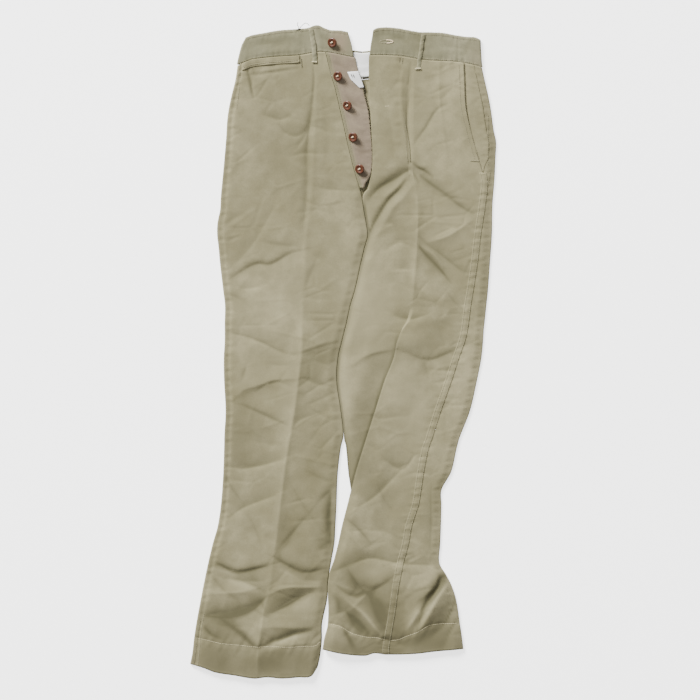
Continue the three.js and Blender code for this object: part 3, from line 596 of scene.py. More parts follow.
def at_fly(down):
    """1 where the fly is open, and 0 below its foot."""
    return 1 - float(ease((down - FLY_FOOT) / FLY_FADE))


def thickness(down, hem):
    """The cloth is thicker where it is turned up."""
    return np.where(down > hem - HEM_DEPTH, HEM_CLOTH, CLOTH)


# Near the waist and the hem, rows of points bend to the curves of the two seams.
WAIST_PULL = 90
HEM_PULL = 110
HEM_ROWS = 15
ROW_STEP = 2.05


def shifted(down, waist_seam, hem, drop):
    """Where a row lies once the waist follows its seam and the hem hangs in its curve."""
    waist = (1 - ease((down - WAIST_ROW) / WAIST_PULL)) * (waist_seam - WAIST_ROW)
    return down + waist + ease((down - hem + HEM_PULL) / HEM_PULL) * drop


def panel(leg, path, seam_at, lifted, raised=None, pucker=None, step=ROW_STEP):
    """A leg panel's face and back as grids, from its section at each row."""
    hem = leg["hem"]
    above = np.linspace(WAIST_ROW, hem - HEM_DEPTH, int((hem - HEM_DEPTH - WAIST_ROW) / step))
    below = np.linspace(hem - HEM_DEPTH + 1.2, hem, HEM_ROWS)
    downs = np.concatenate([above, below])
    grid = np.array([path(down) for down in downs])
    x, z, nx, nz = (grid[..., k] for k in range(4))
    down = np.broadcast_to(downs[:, None], x.shape)
    columns = np.broadcast_to(np.arange(x.shape[1])[None, :], x.shape)
    mask = lifted(columns, x.shape[1], down)
    y = shifted(down, seam_at(x, columns), hem, leg["drop"](x, down)) + leg["hem_line"](x, down)
    up = np.where(mask, lift(x, down, leg, y), 0)
    if raised:
        up = up + raised(x, down, columns)
    if pucker:
        up = up + np.where(mask, pucker(x, down), 0)
    cloth = thickness(down, hem)
    face = np.stack([x, y, np.maximum(z + up, 0)], axis=-1)
    back = np.stack([x - cloth * nx, y, np.maximum(z + up - cloth * nz, 0)], axis=-1)
    depth, line = folds(x, y, leg["folds"])
    placed_shade_and_light = folds(x, y, leg["shade_and_light"])[0]
    # painted shade: deep folds are a little darker, their lines more so, and the placed shade rows most of
    # all
    painted_hollow_shade = 0.4 * np.clip(depth / 3.4, -1, 0) + 0.55 * np.minimum(line, 0) + 0.9 * np.minimum(placed_shade_and_light, 0)
    fold = np.where(mask, np.clip(painted_hollow_shade, -1, 0), 0)
    # the hem's bottom edge is worn pale; ridge lines and the placed pale rows get painted highlight
    hem_edge = ease((down - hem + 5) / 5) * 0.5
    worn = hem_edge + np.where(mask, 0.45 * np.maximum(line, 0) + np.maximum(placed_shade_and_light, 0), 0)
    return {"downs": downs, "face": face, "back": back, "fold": fold, "worn": worn, "x": x, "down": down}


def ripple(along, size, seed):
    """Uneven puckers along a seam, from -1 to 1."""
    waves = np.sin(along / size * 6.28 + seed) + 0.7 * np.sin(along / size * 4.1 + seed * 2.3)
    return (waves + 0.5 * np.sin(along / size * 9.7 + seed * 0.7)) / 2.2


def beside(distance, width):
    """1 on a line, and soon 0 away from it."""
    return np.exp(-((distance / width) ** 2))


def hem_pucker(x, down, hem):
    """The hem's stitching sinks in and draws the cloth into slanted puckers."""
    line = down - (hem - HEM_DEPTH)
    slanted = x + 0.6 * down
    return -0.7 * beside(line, 2.2) + 0.5 * beside(line, 11) * ripple(slanted, 15, 1.0)


BAND_GAP = 0.2


def band_seam_right(x):
    """Where the right fronts and backs are sewn to the waistband."""
    return at(BAND_RIGHT, "seam", x) + BAND_GAP


def mark(piece, node, material):
    """The piece gets its material, is parented to the root and stands for its solid, which is hidden."""
    piece.data.materials.append(material)
    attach(piece, "root")
    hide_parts(node)


def right_drop(x, down):
    """How far the right hem hangs below its row."""
    outer = at(RIGHT, "outer", down)
    return at(HEM_RIGHT_DROP, "drop", np.clip((x - outer) / (right_inner(down) - outer), 0, 1))


right_leg = {
    "side": 1,
    "seed": 3.0,
    "hem": RIGHT_HEM,
    "outer": lambda down: at(RIGHT, "outer", down),
    "inner": right_inner,
    "drop": right_drop,
    "hem_line": lambda x, down: 0,
    "folds": RIGHT_FOLDS,
    "shade_and_light": RIGHT_SHADE_AND_LIGHT,
}


# The front's section runs from the inside edge over the top to the outside edge, in these steps.
EDGE_STEPS = 5
TOP_STEPS = 84
TOP_FIRST = EDGE_STEPS + 1
TOP_LAST = TOP_FIRST + TOP_STEPS
SIDE_SEAM_TOP = 67


def front_right_section(down):
    """Across the leg from the inside edge over the top to the outside edge."""
    z = float(edge_height(down))
    outer = float(at(RIGHT, "outer", down))
    turn, run, end, reach = inner_edge(down)
    start = float(right_inner(down)) - reach - (end + SEAM_GAP) * at_fly(down)
    inside = walk(start, z, 0, -1, [(run, -turn, EDGE_STEPS), (end, 0, 1)])
    top = max(start - outer - z / 2, 1)
    outside = walk(start, z, math.pi, 1, [
        (top, 0, TOP_STEPS),
        (half_turn(down), math.pi, 6),
        (FLOOR_RUN, 0, 1),
    ])
    return inside[::-1] + outside[1:]


def right_pucker(x, down):
    """The unevenness that stitching gives the cloth along the seams."""
    side_seam = x - at(RIGHT, "outer", down) - 7.5
    seam = 0.6 * beside(side_seam, 5) * ripple(down, 13, 2.0) - 1.0 * beside(side_seam, 1.8)
    crotch = 0.35 * beside(x - right_inner(down) + 9, 6) * ripple(down, 16, 4.0)
    waist = 0.5 * beside(down - WAIST_ROW - 4, 12) * ripple(x, 21, 0.5)
    return hem_pucker(x, down, RIGHT_HEM) + seam + crotch + waist


UNDER_FROM = 285


def under_shade(downs):
    """The painted shade on the cloth that turns under at the inside of a leg, below the crotch."""
    return -ease((downs - UNDER_FROM) / 20)


front_right_grid = panel(
    right_leg, front_right_section,
    lambda x, i: np.where(i < TOP_LAST, band_seam_right(x), SIDE_SEAM_TOP),
    lambda i, n, down: (i < n - 2) & ((down < CROTCH) | (i > 1)),
    pucker=right_pucker,
)
# painted shade on the cloth turned under at the inside edge
front_right_grid["fold"][:, 1:TOP_FIRST] = under_shade(front_right_grid["down"][:, 1:TOP_FIRST])
front_right = cloth_piece("front_right_cloth", front_right_grid["face"], front_right_grid["back"],
                          front_right_grid["fold"], front_right_grid["worn"])
mark(front_right, "front_right", khaki)

# Right back
# The twill panel below the right front, flat on the surface. Its top slopes down to the centre back,
# where the two backs meet in a seam that ends where the legs part.
CENTRE_BACK = {"x": 32, "top": 43.5, "seam": 90}
BACK_TOP = CENTRE_BACK["seam"] + 0.8
PARTING = 304
PARTING_RUN = 24


def back_line(x, side, at_side, at_centre):
    """A line across the back, from its height at the side to that at the centre back."""
    share = np.clip((x - side) / (CENTRE_BACK["x"] - side), 0, 1)
    return at_side + (at_centre - at_side) * share


def back_inside(down, leg_edge):
    """A back's inner edge: the centre-back seam, and below it the inside of the leg."""
    crotch = CENTRE_BACK["x"] + (down / CROTCH) * 5 + SEAM_GAP
    return crotch + (leg_edge - crotch) * float(np.clip((down - PARTING) / PARTING_RUN, 0, 1))


def back_right_section(down):
    """Flat along the surface, from the outside edge to the inside."""
    z = float(edge_height(down))
    left = float(at(RIGHT, "outer", down)) + z / 2 + FLOOR_RUN + SEAM_GAP
    right = back_inside(down, float(right_inner(down)) - z / 2 - FLOOR_RUN - SEAM_GAP)
    return walk(left, 0, 0, 1, [(right - left, 0, 24)])


back_right_grid = panel(
    right_leg, back_right_section,
    lambda x, i: back_line(x, -176, 66, BACK_TOP),
    lambda i, n, down: np.zeros(i.shape, dtype=bool),
    step=9,
)
back_right = cloth_piece("back_right_cloth", back_right_grid["face"], back_right_grid["back"])
mark(back_right, "back_right", khaki)

# Left front
# The left leg is twisted as it lies: its twill front turns under at the pressed crease, so that part
# of it lies doubled, and the outside seam, which joins it to the back, runs up the middle of the leg.
LEG_GAP = -0.2
LEFT_HEM = 1040
SEAM_WIDTH = 6
SEAM_STEPS = 3
LEFT_TOP = SEAM_STEPS + 48
CREASE_STEPS = 5
RETURN_STEPS = 3
LEFT_UNDER = LEFT_TOP + CREASE_STEPS + 1 + RETURN_STEPS
UNTWIST = 765
UNTWIST_RUN = 35
DOUBLED_FROM = 500
DOUBLED_TO = 775
DOUBLED_FADE = 25
# The left leg's edges, with the pressed crease and the outside seam between them.
LEFT = table("down inner crease seam outer", [
    [60, 43.3, 108, 202, 232],
    [85, 42.8, 108.5, 203, 237],
    [117, 44.3, 109, 204, 243],
    [142, 45.3, 109.5, 206, 247],
    [175, 47.1, 110.5, 213, 251.5],
    [195, 48.4, 111, 218.5, 255.5],
    [220, 49.2, 112, 225.5, 254.5],
    [245, 47.8, 113, 233, 253.5],
    [262, 43.8, 116, 236, 252.5],
    [300, 36, 124, 232, 249.5],
    [350, 42, 123.5, 224.5, 248.5],
    [400, 30, 122, 218.5, 245],
    [442, 20, 117.5, 212, 242],
    [470, 12, 115, 207.5, 239],
    [490, 7, 109, 205, 237],
    [508, 3, 98, 202.5, 235],
    [527, -1, 90, 198, 233.8],
    [555, -7, 84, 188, 231],
    [592, -9, 69.2, 176, 223.8],
    [643, -2, 53, 158, 212],
    [687, 2.5, 39, 144, 195],
    [705, 5, 33.3, 137.5, 190],
    [745, 8.6, 21, 129.5, 180.5],
    [775, 12.3, 13.3, 125, 164.5],
    [800, 9.5, 7, 120.5, 164.3],
    [835, 0.6, -2, 109.5, 163.5],
    [865, -5.5, -8.5, 104, 162.3],
    [897, -13, -16.5, 95.5, 161],
    [916, -17, -20, 91.5, 172],
    [935, -21, -24, 87, 181.5],
    [960, -21.5, -24.3, 82, 189.3],
    [1000, -23, -26, 73, 195.5],
    [1020, -28, -31, 71.5, 198.5],
    [1040, -31.5, -34.3, 71.5, 201],
])
# How many degrees the front turns under at the crease, how far back it runs, and where its inseam is.
TWIST = table("down turn back inseam", [
    [470, 1, 3, 16],
    [490, 45, 2.5, 12],
    [508, 90, 1.6, 8],
    [527, 135, 3, 5],
    [548, 180, 5, 1],
    [600, 180, 9, 2],
    [700, 180, 11, 14],
    [775, 180, 11, 22],
    [835, 180, 9, 20],
    [900, 180, 7, 40],
    [1040, 180, 6, 56],
])
HEM_LEFT_DROP = table("across drop", [
    [0, 0], [0.1, 2], [0.2, 4], [0.35, 8], [0.55, 9], [0.63, 7], [0.7, 11], [0.85, 8], [1, 0.5],
])
# The hem's stitched line hangs down in the middle, where the cloth above it slopes steeply.
HEM_LINE_PULL = 90
HEM_LINE_LEFT = table("x drop", [
    [-26, 0], [-5, 1], [14, 10], [46, 17], [71, 22], [90, 22], [108, 15], [126, 9], [144, 0], [194, 0],
])
BAND_LEFT = table("x top seam", [
    [43, 10, 50],
    [50, 8, 50],
    [56, 5, 50],
    [72, 3.5, 50],
    [91, 5, 51],
    [102, 7, 52.3],
    [128, 11.5, 57],
    [144, 11.8, 58.7],
    [167, 12.9, 60],
    [186, 16.5, 61],
    [205, 19.3, 63.5],
    [221, 20.5, 67],
    [232, 26, 70],
])
LEFT_FOLDS = [
    (1.0, 7, 0, [(118, 75), (117, 130), (117, 195), (117, 240), (124, 292)]),
    (2.2, 7, 0, [(124, 288), (124, 330), (123, 365), (118, 430), (115.5, 462)]),
    (-2.6, 5, 0.1, [(112, 64), (110.5, 100), (109, 130), (107.5, 160), (110, 195), (114, 228)]),
    (1.0, 3, 0, [(99, 66), (97, 100), (98, 142), (103, 175), (108, 215)]),
    (1.2, 6, 0, [(160, 64), (160, 100), (162, 140), (168, 180), (172, 220)]),
    (-1.2, 3.5, 0.3, [(175, 131), (156, 142), (138, 171), (127, 186), (117, 200)]),
    (-3.6, 9, -0.2, [(41, 292), (57, 273), (81, 258), (98, 247), (109, 242), (118, 248), (126, 262)]),
    (1.8, 6, 0, [(103, 252), (91, 268), (74, 284), (64, 299)]),
    (2.0, 8, 0, [(114, 268), (100, 286), (83, 303), (74, 318), (66, 333), (57, 348)]),
    (-2.4, 5, 0.3, [(104, 260), (93, 274), (75, 291), (65, 306), (58, 318), (51, 330), (45, 344), (40, 358)]),
    (1.2, 4, 0, [(54, 350), (66, 339), (81, 331)]),
    (-2.8, 5, -0.5, [(116, 230), (128, 239), (137, 243), (150, 253)]),
    (-3.2, 9, -0.1, [(129, 250), (141, 260), (153, 269), (166, 278), (180, 289), (195, 301), (217, 314)]),
    (2.4, 9, 0, [(214, 325), (177, 350), (143, 361)]),
    (-3.6, 9, 0, [(123, 363), (134, 378), (146, 390), (158, 402), (168, 414), (180, 430)]),
    (1.8, 6, 0, [(127, 366), (144, 377), (156, 388), (166, 402)]),
    (-2.2, 9, -0.2, [(129, 354), (141, 366), (160, 379), (180, 395), (200, 410), (212, 414)]),
    (-1.6, 8, -0.3, [(173, 445), (187, 462), (200, 475)]),
    (-2.2, 6, 0.4, [(85, 483), (110, 490), (142, 481)]),
    (-1.8, 7, 0.4, [(208, 531), (172, 548), (140, 558), (103, 545)]),
    (-1.4, 8, 0, [(135, 561), (140, 577), (143, 591)]),
    (-1.6, 6, 0.4, [(53, 348), (80, 330), (93, 343)]),
    (-1.5, 6, 0.4, [(70, 375), (95, 361), (123, 373)]),
    (-1.4, 6, 0.3, [(92, 405), (106, 406), (120, 410)]),
    (1.4, 6, 0.4, [(18, 566), (48, 547), (82, 540)]),
    (-1.9, 6, 0.4, [(68, 723), (97, 740), (115, 725)]),
    (-1.9, 7, -0.4, [(96, 741), (86, 752), (73, 765), (63, 776), (47, 789), (26, 802)]),
    (-1.0, 5, 0.3, [(43, 742), (54, 753)]),
    (-1.0, 5, 0.3, [(41, 698), (58, 709)]),
    (-2.6, 9, 0.2, [(6, 822), (28, 842), (46, 864)]),
    (-1.6, 8, 0.3, [(63, 778), (72, 795), (83, 811)]),
    (2.0, 9, 0, [(2, 838), (22, 860), (42, 880)]),
    (-1.6, 9, 0.3, [(147, 778), (147, 830), (145, 878)]),
    (-2.4, 7, 0.4, [(-14, 908), (43, 888), (93, 896), (155, 900)]),
    (-2.4, 7, -0.4, [(8, 908), (35, 943), (57, 938), (83, 921)]),
    (-2.4, 7, 0.4, [(-16, 930), (13, 950), (35, 945), (47, 948)]),
    (4.6, 9, 0, [(2, 954), (18, 968), (34, 980), (48, 997), (64, 1016)]),
    (-3.4, 10, 0, [(6, 978), (22, 998), (42, 1014)]),
    (-4.2, 11, 0, [(44, 954), (58, 975), (72, 1000), (80, 1020)]),
    (1.4, 4, 0, [(17, 970), (25, 962), (33, 954), (42, 947)]),
    (-1.8, 5, 0.2, [(12, 950), (24, 951), (36, 944), (46, 952)]),
    (-1.6, 7, 0.3, [(-20, 983), (5, 975)]),
    (3.2, 8, -0.5, [(158, 915), (155, 928), (152, 936), (142, 945), (134, 953)]),
    (-7.2, 7.5, 0, [(169, 918), (164, 926), (158, 937), (151, 948), (142, 961), (133, 974)]),
    (7.0, 12, 0, [(176, 930), (158, 954), (145, 977), (132, 1000), (120, 1016)]),
    (2.8, 8, 0, [(132, 966), (119, 988), (106, 1008)]),
    (-3.4, 15, 0, [(190, 940), (182, 972), (165, 1002), (145, 1020)]),
    (-2.4, 7, 0, [(138, 975), (126, 993), (113, 1012)]),
    (-3.0, 9, 0, [(62, 1020), (84, 1028), (104, 1034)]),
    (-2.2, 9, 0, [(192, 985), (178, 1010), (166, 1040)]),
    (-1.2, 7, 0.3, [(30, 640), (60, 655), (110, 650)]),
    (-1.3, 8, -0.3, [(185, 620), (160, 650), (150, 690)]),
    (-1.0, 7, 0.3, [(60, 840), (85, 850), (100, 870)]),
    (-1.0, 9, 0.3, [(150, 120), (165, 160), (175, 205)]),
    (-1.1, 8, -0.3, [(60, 110), (75, 150), (85, 210)]),
    (-0.9, 8, 0.3, [(140, 470), (170, 500), (190, 505)]),
]
# Painted shade in the left leg's deepest folds and painted highlight along lit ridges, as above.
LEFT_SHADE_AND_LIGHT = [
    (-0.8, 1.5, 0, [(96, 270), (75, 291), (65, 306), (58, 318), (51, 330), (45, 344), (40, 358)]),
    (-0.5, 1.8, 0, [(16, 570), (30, 558), (48, 549), (80, 543)]),
    (-0.25, 16, 0, [(45, 575), (75, 565)]),
    (-0.6, 9, 0, [(58, 960), (70, 985), (77, 1010)]),
    (-0.5, 10, 0, [(12, 982), (24, 998), (36, 1012)]),
    (-0.8, 5, 0, [(0, 1006), (10, 1020), (18, 1034), (22, 1044)]),
    (-0.5, 9, 0, [(118, 1036), (140, 1019), (156, 1002)]),
    (-0.9, 7, 0, [(168, 922), (160, 936), (152, 948)]),
    (-1.8, 9, 0, [(168, 918), (163, 926), (157, 937), (150, 949), (142, 961), (133, 974)]),
    (-1.1, 3, 0, [(133, 972), (129, 986), (125, 1001), (121, 1018)]),
    (-0.8, 9, 0, [(170, 962), (160, 983), (148, 998)]),
    (-1.3, 11, 0, [(50, 950), (57, 970), (61, 986), (65, 1002)]),
    (-1.2, 8, 0, [(13, 980), (24, 996), (35, 1008), (48, 1018)]),
    (-0.7, 8, 0, [(80, 1007), (100, 1016)]),
    (-0.95, 9, 0, [(-21, 946), (-8, 960), (-8, 978)]),
    (-1.0, 2.4, 0, [(12, 949), (25, 953), (36, 947), (44, 950)]),
    (-0.65, 4, 0, [(-2, 998), (8, 1019), (17, 1044)]),
    (-0.5, 7, 0, [(108, 1034), (128, 1023), (149, 1007)]),
    (-0.45, 8, 0, [(40, 1036), (70, 1043), (95, 1041)]),
    (-0.65, 5, 0, [(9, 913), (19, 930), (26, 942)]),
    (-0.5, 3, 0, [(-16, 909), (8, 902), (36, 889)]),
    (-0.5, 4, 0, [(101, 262), (90, 276), (73, 293), (58, 318), (46, 343)]),
    (-0.5, 5, 0, [(44, 288), (60, 270), (84, 256), (106, 244)]),
    (-0.5, 5, 0, [(128, 252), (152, 270), (180, 290), (212, 312)]),
    (-0.5, 5, 0, [(125, 366), (146, 391), (168, 416)]),
    (1.0, 5, 0, [(22, 970), (34, 981), (44, 992), (53, 1004), (62, 1014)]),
    (0.4, 6, 0, [(172, 934), (166, 943), (153, 962), (138, 983), (127, 1001), (120, 1013)]),
    (0.8, 6, 0, [(127, 972), (117, 990), (106, 1006)]),
    (0.7, 4, 0, [(-21, 927), (1, 935), (24, 944)]),
    (0.5, 13, 0, [(30, 906), (55, 912), (80, 906)]),
]


def touching(own, down, start, end):
    """The left leg's edge, drawn to the right leg's edge between two stations."""
    right = right_inner(down) + LEG_GAP
    share = ease((down - start) / 25) * (1 - ease((down - end) / 30))
    return own + (right - own) * share


def left_inner(down):
    """The left leg's inside edge, which lies against the right leg down to the knee."""
    own = at(LEFT, "inner", down)
    near = touching(np.maximum(own, right_inner(down) + LEG_GAP), down, 268, 672)
    return np.where(down > CROTCH, near, own)


def left_crease(down):
    """The left leg's pressed crease, which is its inner edge below the twist."""
    own = at(LEFT, "crease", down)
    near = touching(np.maximum(own, right_inner(down) + LEG_GAP), down, 890, 940)
    return np.where(down > 800, near, own)


def hem_line_drop(x, down):
    """How much further the left hem's stitched line hangs down."""
    below = (LEFT_HEM - down) / HEM_DEPTH
    above = (down - LEFT_HEM + HEM_DEPTH + HEM_LINE_PULL) / HEM_LINE_PULL
    return at(HEM_LINE_LEFT, "drop", x) * ease(np.clip(np.minimum(below, above), 0, 1))


def left_drop(x, down):
    """How far the left hem hangs below its row."""
    outer = at(LEFT, "outer", down)
    return at(HEM_LEFT_DROP, "drop", np.clip((outer - x) / (outer - left_crease(down)), 0, 1))


left_leg = {
    "side": -1,
    "seed": 8.0,
    "hem": LEFT_HEM,
    "outer": lambda down: at(LEFT, "outer", down),
    "inner": lambda down: np.minimum(left_inner(down), left_crease(down)),
    "drop": left_drop,
    "hem_line": hem_line_drop,
    "folds": LEFT_FOLDS,
    "shade_and_light": LEFT_SHADE_AND_LIGHT,
}


def band_seam_left(x):
    """Where the left fronts and backs are sewn to the waistband."""
    return at(BAND_LEFT, "seam", x) + BAND_GAP


def under_inner(down):
    """The inside edge of the left leg, which becomes the pressed crease where the twist ends."""
    inner = float(left_inner(down))
    if down > UNTWIST:
        inner += (float(left_crease(down)) + 3 - inner) * float(ease((down - UNTWIST) / UNTWIST_RUN))
    return inner


def front_left_section(down):
    """From the outside seam over the top, and back under at the crease."""
    z = float(edge_height(down))
    angle = max(math.radians(float(at(TWIST, "turn", down))), 0.02)
    folded = 6.2 if down > LEFT_HEM - HEM_DEPTH else 3.7
    back = float(at(TWIST, "back", down))
    seam = float(at(LEFT, "seam", down)) - SEAM_GAP / 2
    crease = float(left_crease(down))
    turn, run, end, reach = inner_edge(down)
    start = crease + max(folded / max(angle, 1), folded / math.pi)
    outside = walk(seam, z, math.pi, 1, [
        (SEAM_WIDTH, 0, SEAM_STEPS),
        (max(seam - start - SEAM_WIDTH, 0.5), 0, LEFT_TOP - SEAM_STEPS),
        (folded, angle, CREASE_STEPS),
        (back, 0, 1),
        (0.6, -angle, RETURN_STEPS),
    ])
    x, low = outside[-1][:2]
    inner = under_inner(down)
    inseam = max(float(at(TWIST, "inseam", down)) - inner - z / 2, FLOOR_RUN)
    floor = end + (inseam - end) * float(ease((down - 290) / 22))
    inside = walk(x, low, math.pi, 1, [
        (max(x - inner - reach - end * at_fly(down), 0.5), 0, 22),
        (run, turn, EDGE_STEPS),
        (floor, 0, 1),
    ])
    section = []
    for i, (x, height, nx, nz) in enumerate(outside + inside[1:]):
        carried = float(ease((crease + 75 - x) / 60)) if i <= LEFT_TOP else 1
        section.append((x, height + (z - low) * carried, nx, nz))
    return section


def mouth_raise(x, down, i):
    """The side pocket's mouth stands a little open over its facing."""
    mouth = at(LEFT, "seam", down)
    open_part = 0.25 + 0.75 * (1 - ease((down - 140) / 50))
    up = (CLOTH + SEAM_GAP) * open_part * ease((x - mouth + 50) / 30) * (1 - ease((down - 245) / 15))
    return np.where(i <= LEFT_TOP, up, 0)


def left_pucker(x, down):
    """The unevenness that stitching gives the cloth along the seams."""
    seam_line = x - at(LEFT, "seam", down)
    seam = 0.65 * beside(seam_line, 10) * ripple(down, 14, 3.0) * ease((down - 250) / 20)
    side = 0.4 * beside(x - at(LEFT, "outer", down) + 9, 6) * ripple(down, 12, 1.2)
    waist = 0.5 * beside(down - WAIST_ROW - 4, 12) * ripple(x, 23, 2.5)
    fly = 0.4 * beside(x - 92, 6) * ripple(down, 17, 5.0) * (1 - ease((down - 180) / 50))
    return hem_pucker(x, down, LEFT_HEM) + seam + side + waist + fly


front_left_grid = panel(
    left_leg, front_left_section,
    lambda x, i: band_seam_left(x),
    lambda i, n, down: (down < CROTCH) | (i < n - 2),
    raised=mouth_raise,
    pucker=left_pucker,
)
# the layer under the crease lies in shade, most of all along the fold
left_fold, left_downs = front_left_grid["fold"], front_left_grid["down"]
doubled = ease((left_downs - DOUBLED_FROM) / DOUBLED_FADE)
doubled *= 1 - ease((left_downs - DOUBLED_TO) / DOUBLED_FADE)
left_fold[:, LEFT_TOP + 1:LEFT_UNDER] = -doubled[:, LEFT_TOP + 1:LEFT_UNDER]
lower = slice(LEFT_UNDER, None)
from_edge = front_left_grid["x"][:, lower] - left_crease(left_downs[:, lower])
shade = 0.34 * (1 - ease((-from_edge - 30) / 25)) + 0.9 * beside(np.minimum(from_edge, 0), 3.4)
left_fold[:, lower] -= doubled[:, lower] * shade
left_fold[:, -7:-1] = under_shade(left_downs[:, -7:-1])
front_left = cloth_piece("front_left_cloth", front_left_grid["face"], front_left_grid["back"],
                         np.clip(left_fold, -1, 0), front_left_grid["worn"])
mark(front_left, "front_left", khaki)

# Left back
# The twill panel that comes round the side of the twisted leg, from the outside seam over the side and
# along the surface to the centre back. Down to the pocket's foot the front covers its edge.
POCKET_FOOT = 224
POCKET_RUN = 21
BACK_TOP_LAST = SEAM_STEPS + 34


def pocket_share(down):
    """0 down to the foot of the side pocket's mouth, and 1 where the seam closes below it."""
    return float(np.clip((down - POCKET_FOOT) / POCKET_RUN, 0, 1))


def back_left_section(down):
    """From the outside seam over the top, round the side and under."""
    z = float(edge_height(down))
    seam = float(at(LEFT, "seam", down)) + SEAM_GAP / 2
    turn = float(at(LEFT, "outer", down)) - z / 2
    upper, lower = max(seam, turn - 12), min(seam, turn - SEAM_WIDTH - 1)
    start = upper + (lower - upper) * pocket_share(down)
    floor = max(float(at(TWIST, "inseam", down)), under_inner(down) + z / 2 + FLOOR_RUN) + SEAM_GAP
    return walk(start, z, 0, -1, [
        (SEAM_WIDTH, 0, SEAM_STEPS),
        (max(turn - start - SEAM_WIDTH, 0.5), 0, BACK_TOP_LAST - SEAM_STEPS),
        (half_turn(down), -math.pi, 6),
        (turn - back_inside(down, floor), 0, 12),
    ])


back_left_grid = panel(
    left_leg, back_left_section,
    lambda x, i: np.where(i <= BACK_TOP_LAST, band_seam_left(x), back_line(x, 232, 71, BACK_TOP)),
    lambda i, n, down: i <= BACK_TOP_LAST,
    pucker=left_pucker,
)
back_left = cloth_piece("back_left_cloth", back_left_grid["face"], back_left_grid["back"],
                        back_left_grid["fold"], back_left_grid["worn"])
mark(back_left, "back_left", khaki)

# Outside seam of the left leg
# The edges of both panels are folded into each other and sewn down with two rows of topstitching,
# which draw the strip up into small puckers.
FELL_TOP = 246
FELL_ROWS = 300
FELL_HALF = 6.1
FELL_STITCH = 4.4
FELL_OFFSETS = (-6, -5.2, -FELL_STITCH, -2.4, 0, 2.4, FELL_STITCH, 5.2, 6)


def on_face(grid, x, down, first, last):
    """The (x, down, height) point of a panel's face over an x, on the row of that station."""
    row = np.interp(down, grid["downs"], np.arange(len(grid["downs"])))
    low = min(int(row), len(grid["downs"]) - 2)
    point = []
    for k in (low, low + 1):
        line = grid["face"][k, first:last]
        line = line[np.argsort(line[:, 0])]
        point.append([np.interp(x, line[:, 0], line[:, c]) for c in (1, 2)])
    y, z = np.array(point[0]) * (1 - (row - low)) + np.array(point[1]) * (row - low)
    return [x, float(y), float(z)]


def on_left(x, down):
    """The point of the left leg's upper face, on the back panel beside the outside seam."""
    if x > float(at(LEFT, "seam", down)) and down > FELL_TOP - 1:
        return on_face(back_left_grid, x, down, 0, BACK_TOP_LAST)
    return on_face(front_left_grid, x, down, 0, LEFT_TOP + 1)


def flat_sheet(rows, cloth):
    """A grid of face points and the same grid under it, as far as the cloth is thick."""
    face = np.array(rows, dtype=float)
    return face, face - [0, 0, cloth]


def fell_rows(downs):
    """The strip's face across the seam: a low bank with two grooves, puckered unevenly."""
    rows = []
    for down in downs:
        seam = float(at(LEFT, "seam", down))
        row = []
        for offset in FELL_OFFSETS:
            x, y, z = on_left(seam + offset, down)
            bank = 0.8 * math.sqrt(max(1 - (offset / FELL_HALF) ** 2, 0))
            groove = -0.2 * math.exp(-(((abs(offset) - FELL_STITCH) / 0.7) ** 2))
            knot = 0.7 * ripple(down + offset * 0.7, 9.5, 1.7) + 0.5 * ripple(down - offset * 0.5, 5.3, 0.4)
            row.append([x, y, z + 0.05 + bank + groove + 0.4 * knot * (1 - (offset / 7) ** 2)])
        rows.append(row)
    return rows


fell_downs = np.linspace(FELL_TOP, LEFT_HEM, FELL_ROWS)
fell_face, fell_back = flat_sheet(fell_rows(fell_downs), CLOTH)
# painted light and shade on the puckers: paler where they rise, darker where they sink, with darker lines
# near both edges and the edges a little paler
along = fell_downs[:, None] * np.ones((1, len(FELL_OFFSETS)))
pucker_light_and_shade = np.clip(0.2 * ripple(along, 9.5, 1.7) + 0.3 * ripple(along, 5.3, 0.4), -1, 0.3)
fell_wear_and_light = np.maximum(pucker_light_and_shade, 0)
fell_wear_and_light[:, [0, -1]] = 0.2
fell_shade = pucker_light_and_shade.copy()
fell_shade[:, [1, -2]] -= 0.15
fell = cloth_piece("outseam_fell_left_cloth", fell_face, fell_back, np.clip(fell_shade, -1, 0), fell_wear_and_light)
mark(fell, "outseam_fell_left", khaki)

# Waistband
# Two halves of doubled twill, each sewn to the tops of its panels, folded over the side of the
# trousers and joined at the centre back. Rows of stitching run along both edges.
BAND_CLOTH = 2.0
BAND_ROLL = 2.9
BAND_STEPS = 110
BAND_TURN_STEPS = 8
BAND_ENDS = table("down rightFly rightSide leftFly leftSide", [
    [0, 4.5, -160, 52, 226],
    [20, 10.5, -162, 48.5, 229.5],
    [34, 14.7, -169, 46, 230.2],
    [46, 16.5, -172.5, 44.6, 231],
    [60, 18, -176, 43.3, 232],
    [70, 18, -178, 43.3, 234],
])
BAND_FOLDS = [
    (-1.2, 4, 0.4, [(53, 19), (74, 16), (89, 20), (97, 22), (106, 27)]),
    (-0.8, 4, 0.3, [(112, 22), (128, 26), (150, 27)]),
    (-0.7, 5, -0.3, [(165, 30), (190, 36), (215, 38)]),
    (0.9, 5, 0, [(150, 45), (175, 42), (200, 47)]),
    (-0.9, 4, 0.3, [(-150, 34), (-125, 30), (-95, 31)]),
    (-0.8, 4, -0.3, [(-92, 20), (-75, 26), (-62, 40)]),
    (-1.0, 4, 0.3, [(-38, 14), (-30, 24), (-10, 30)]),
    (0.8, 5, 0, [(-140, 46), (-110, 43), (-80, 42)]),
    (-0.8, 4, 0.3, [(-45, 38), (-25, 40), (-5, 44)]),
]
BAND_HALVES = {
    "right": {"edges": BAND_RIGHT, "fly": "rightFly", "side": "rightSide", "fly_end": 18, "way": 1},
    "left": {"edges": BAND_LEFT, "fly": "leftFly", "side": "leftSide", "fly_end": 43.3, "way": -1},
}
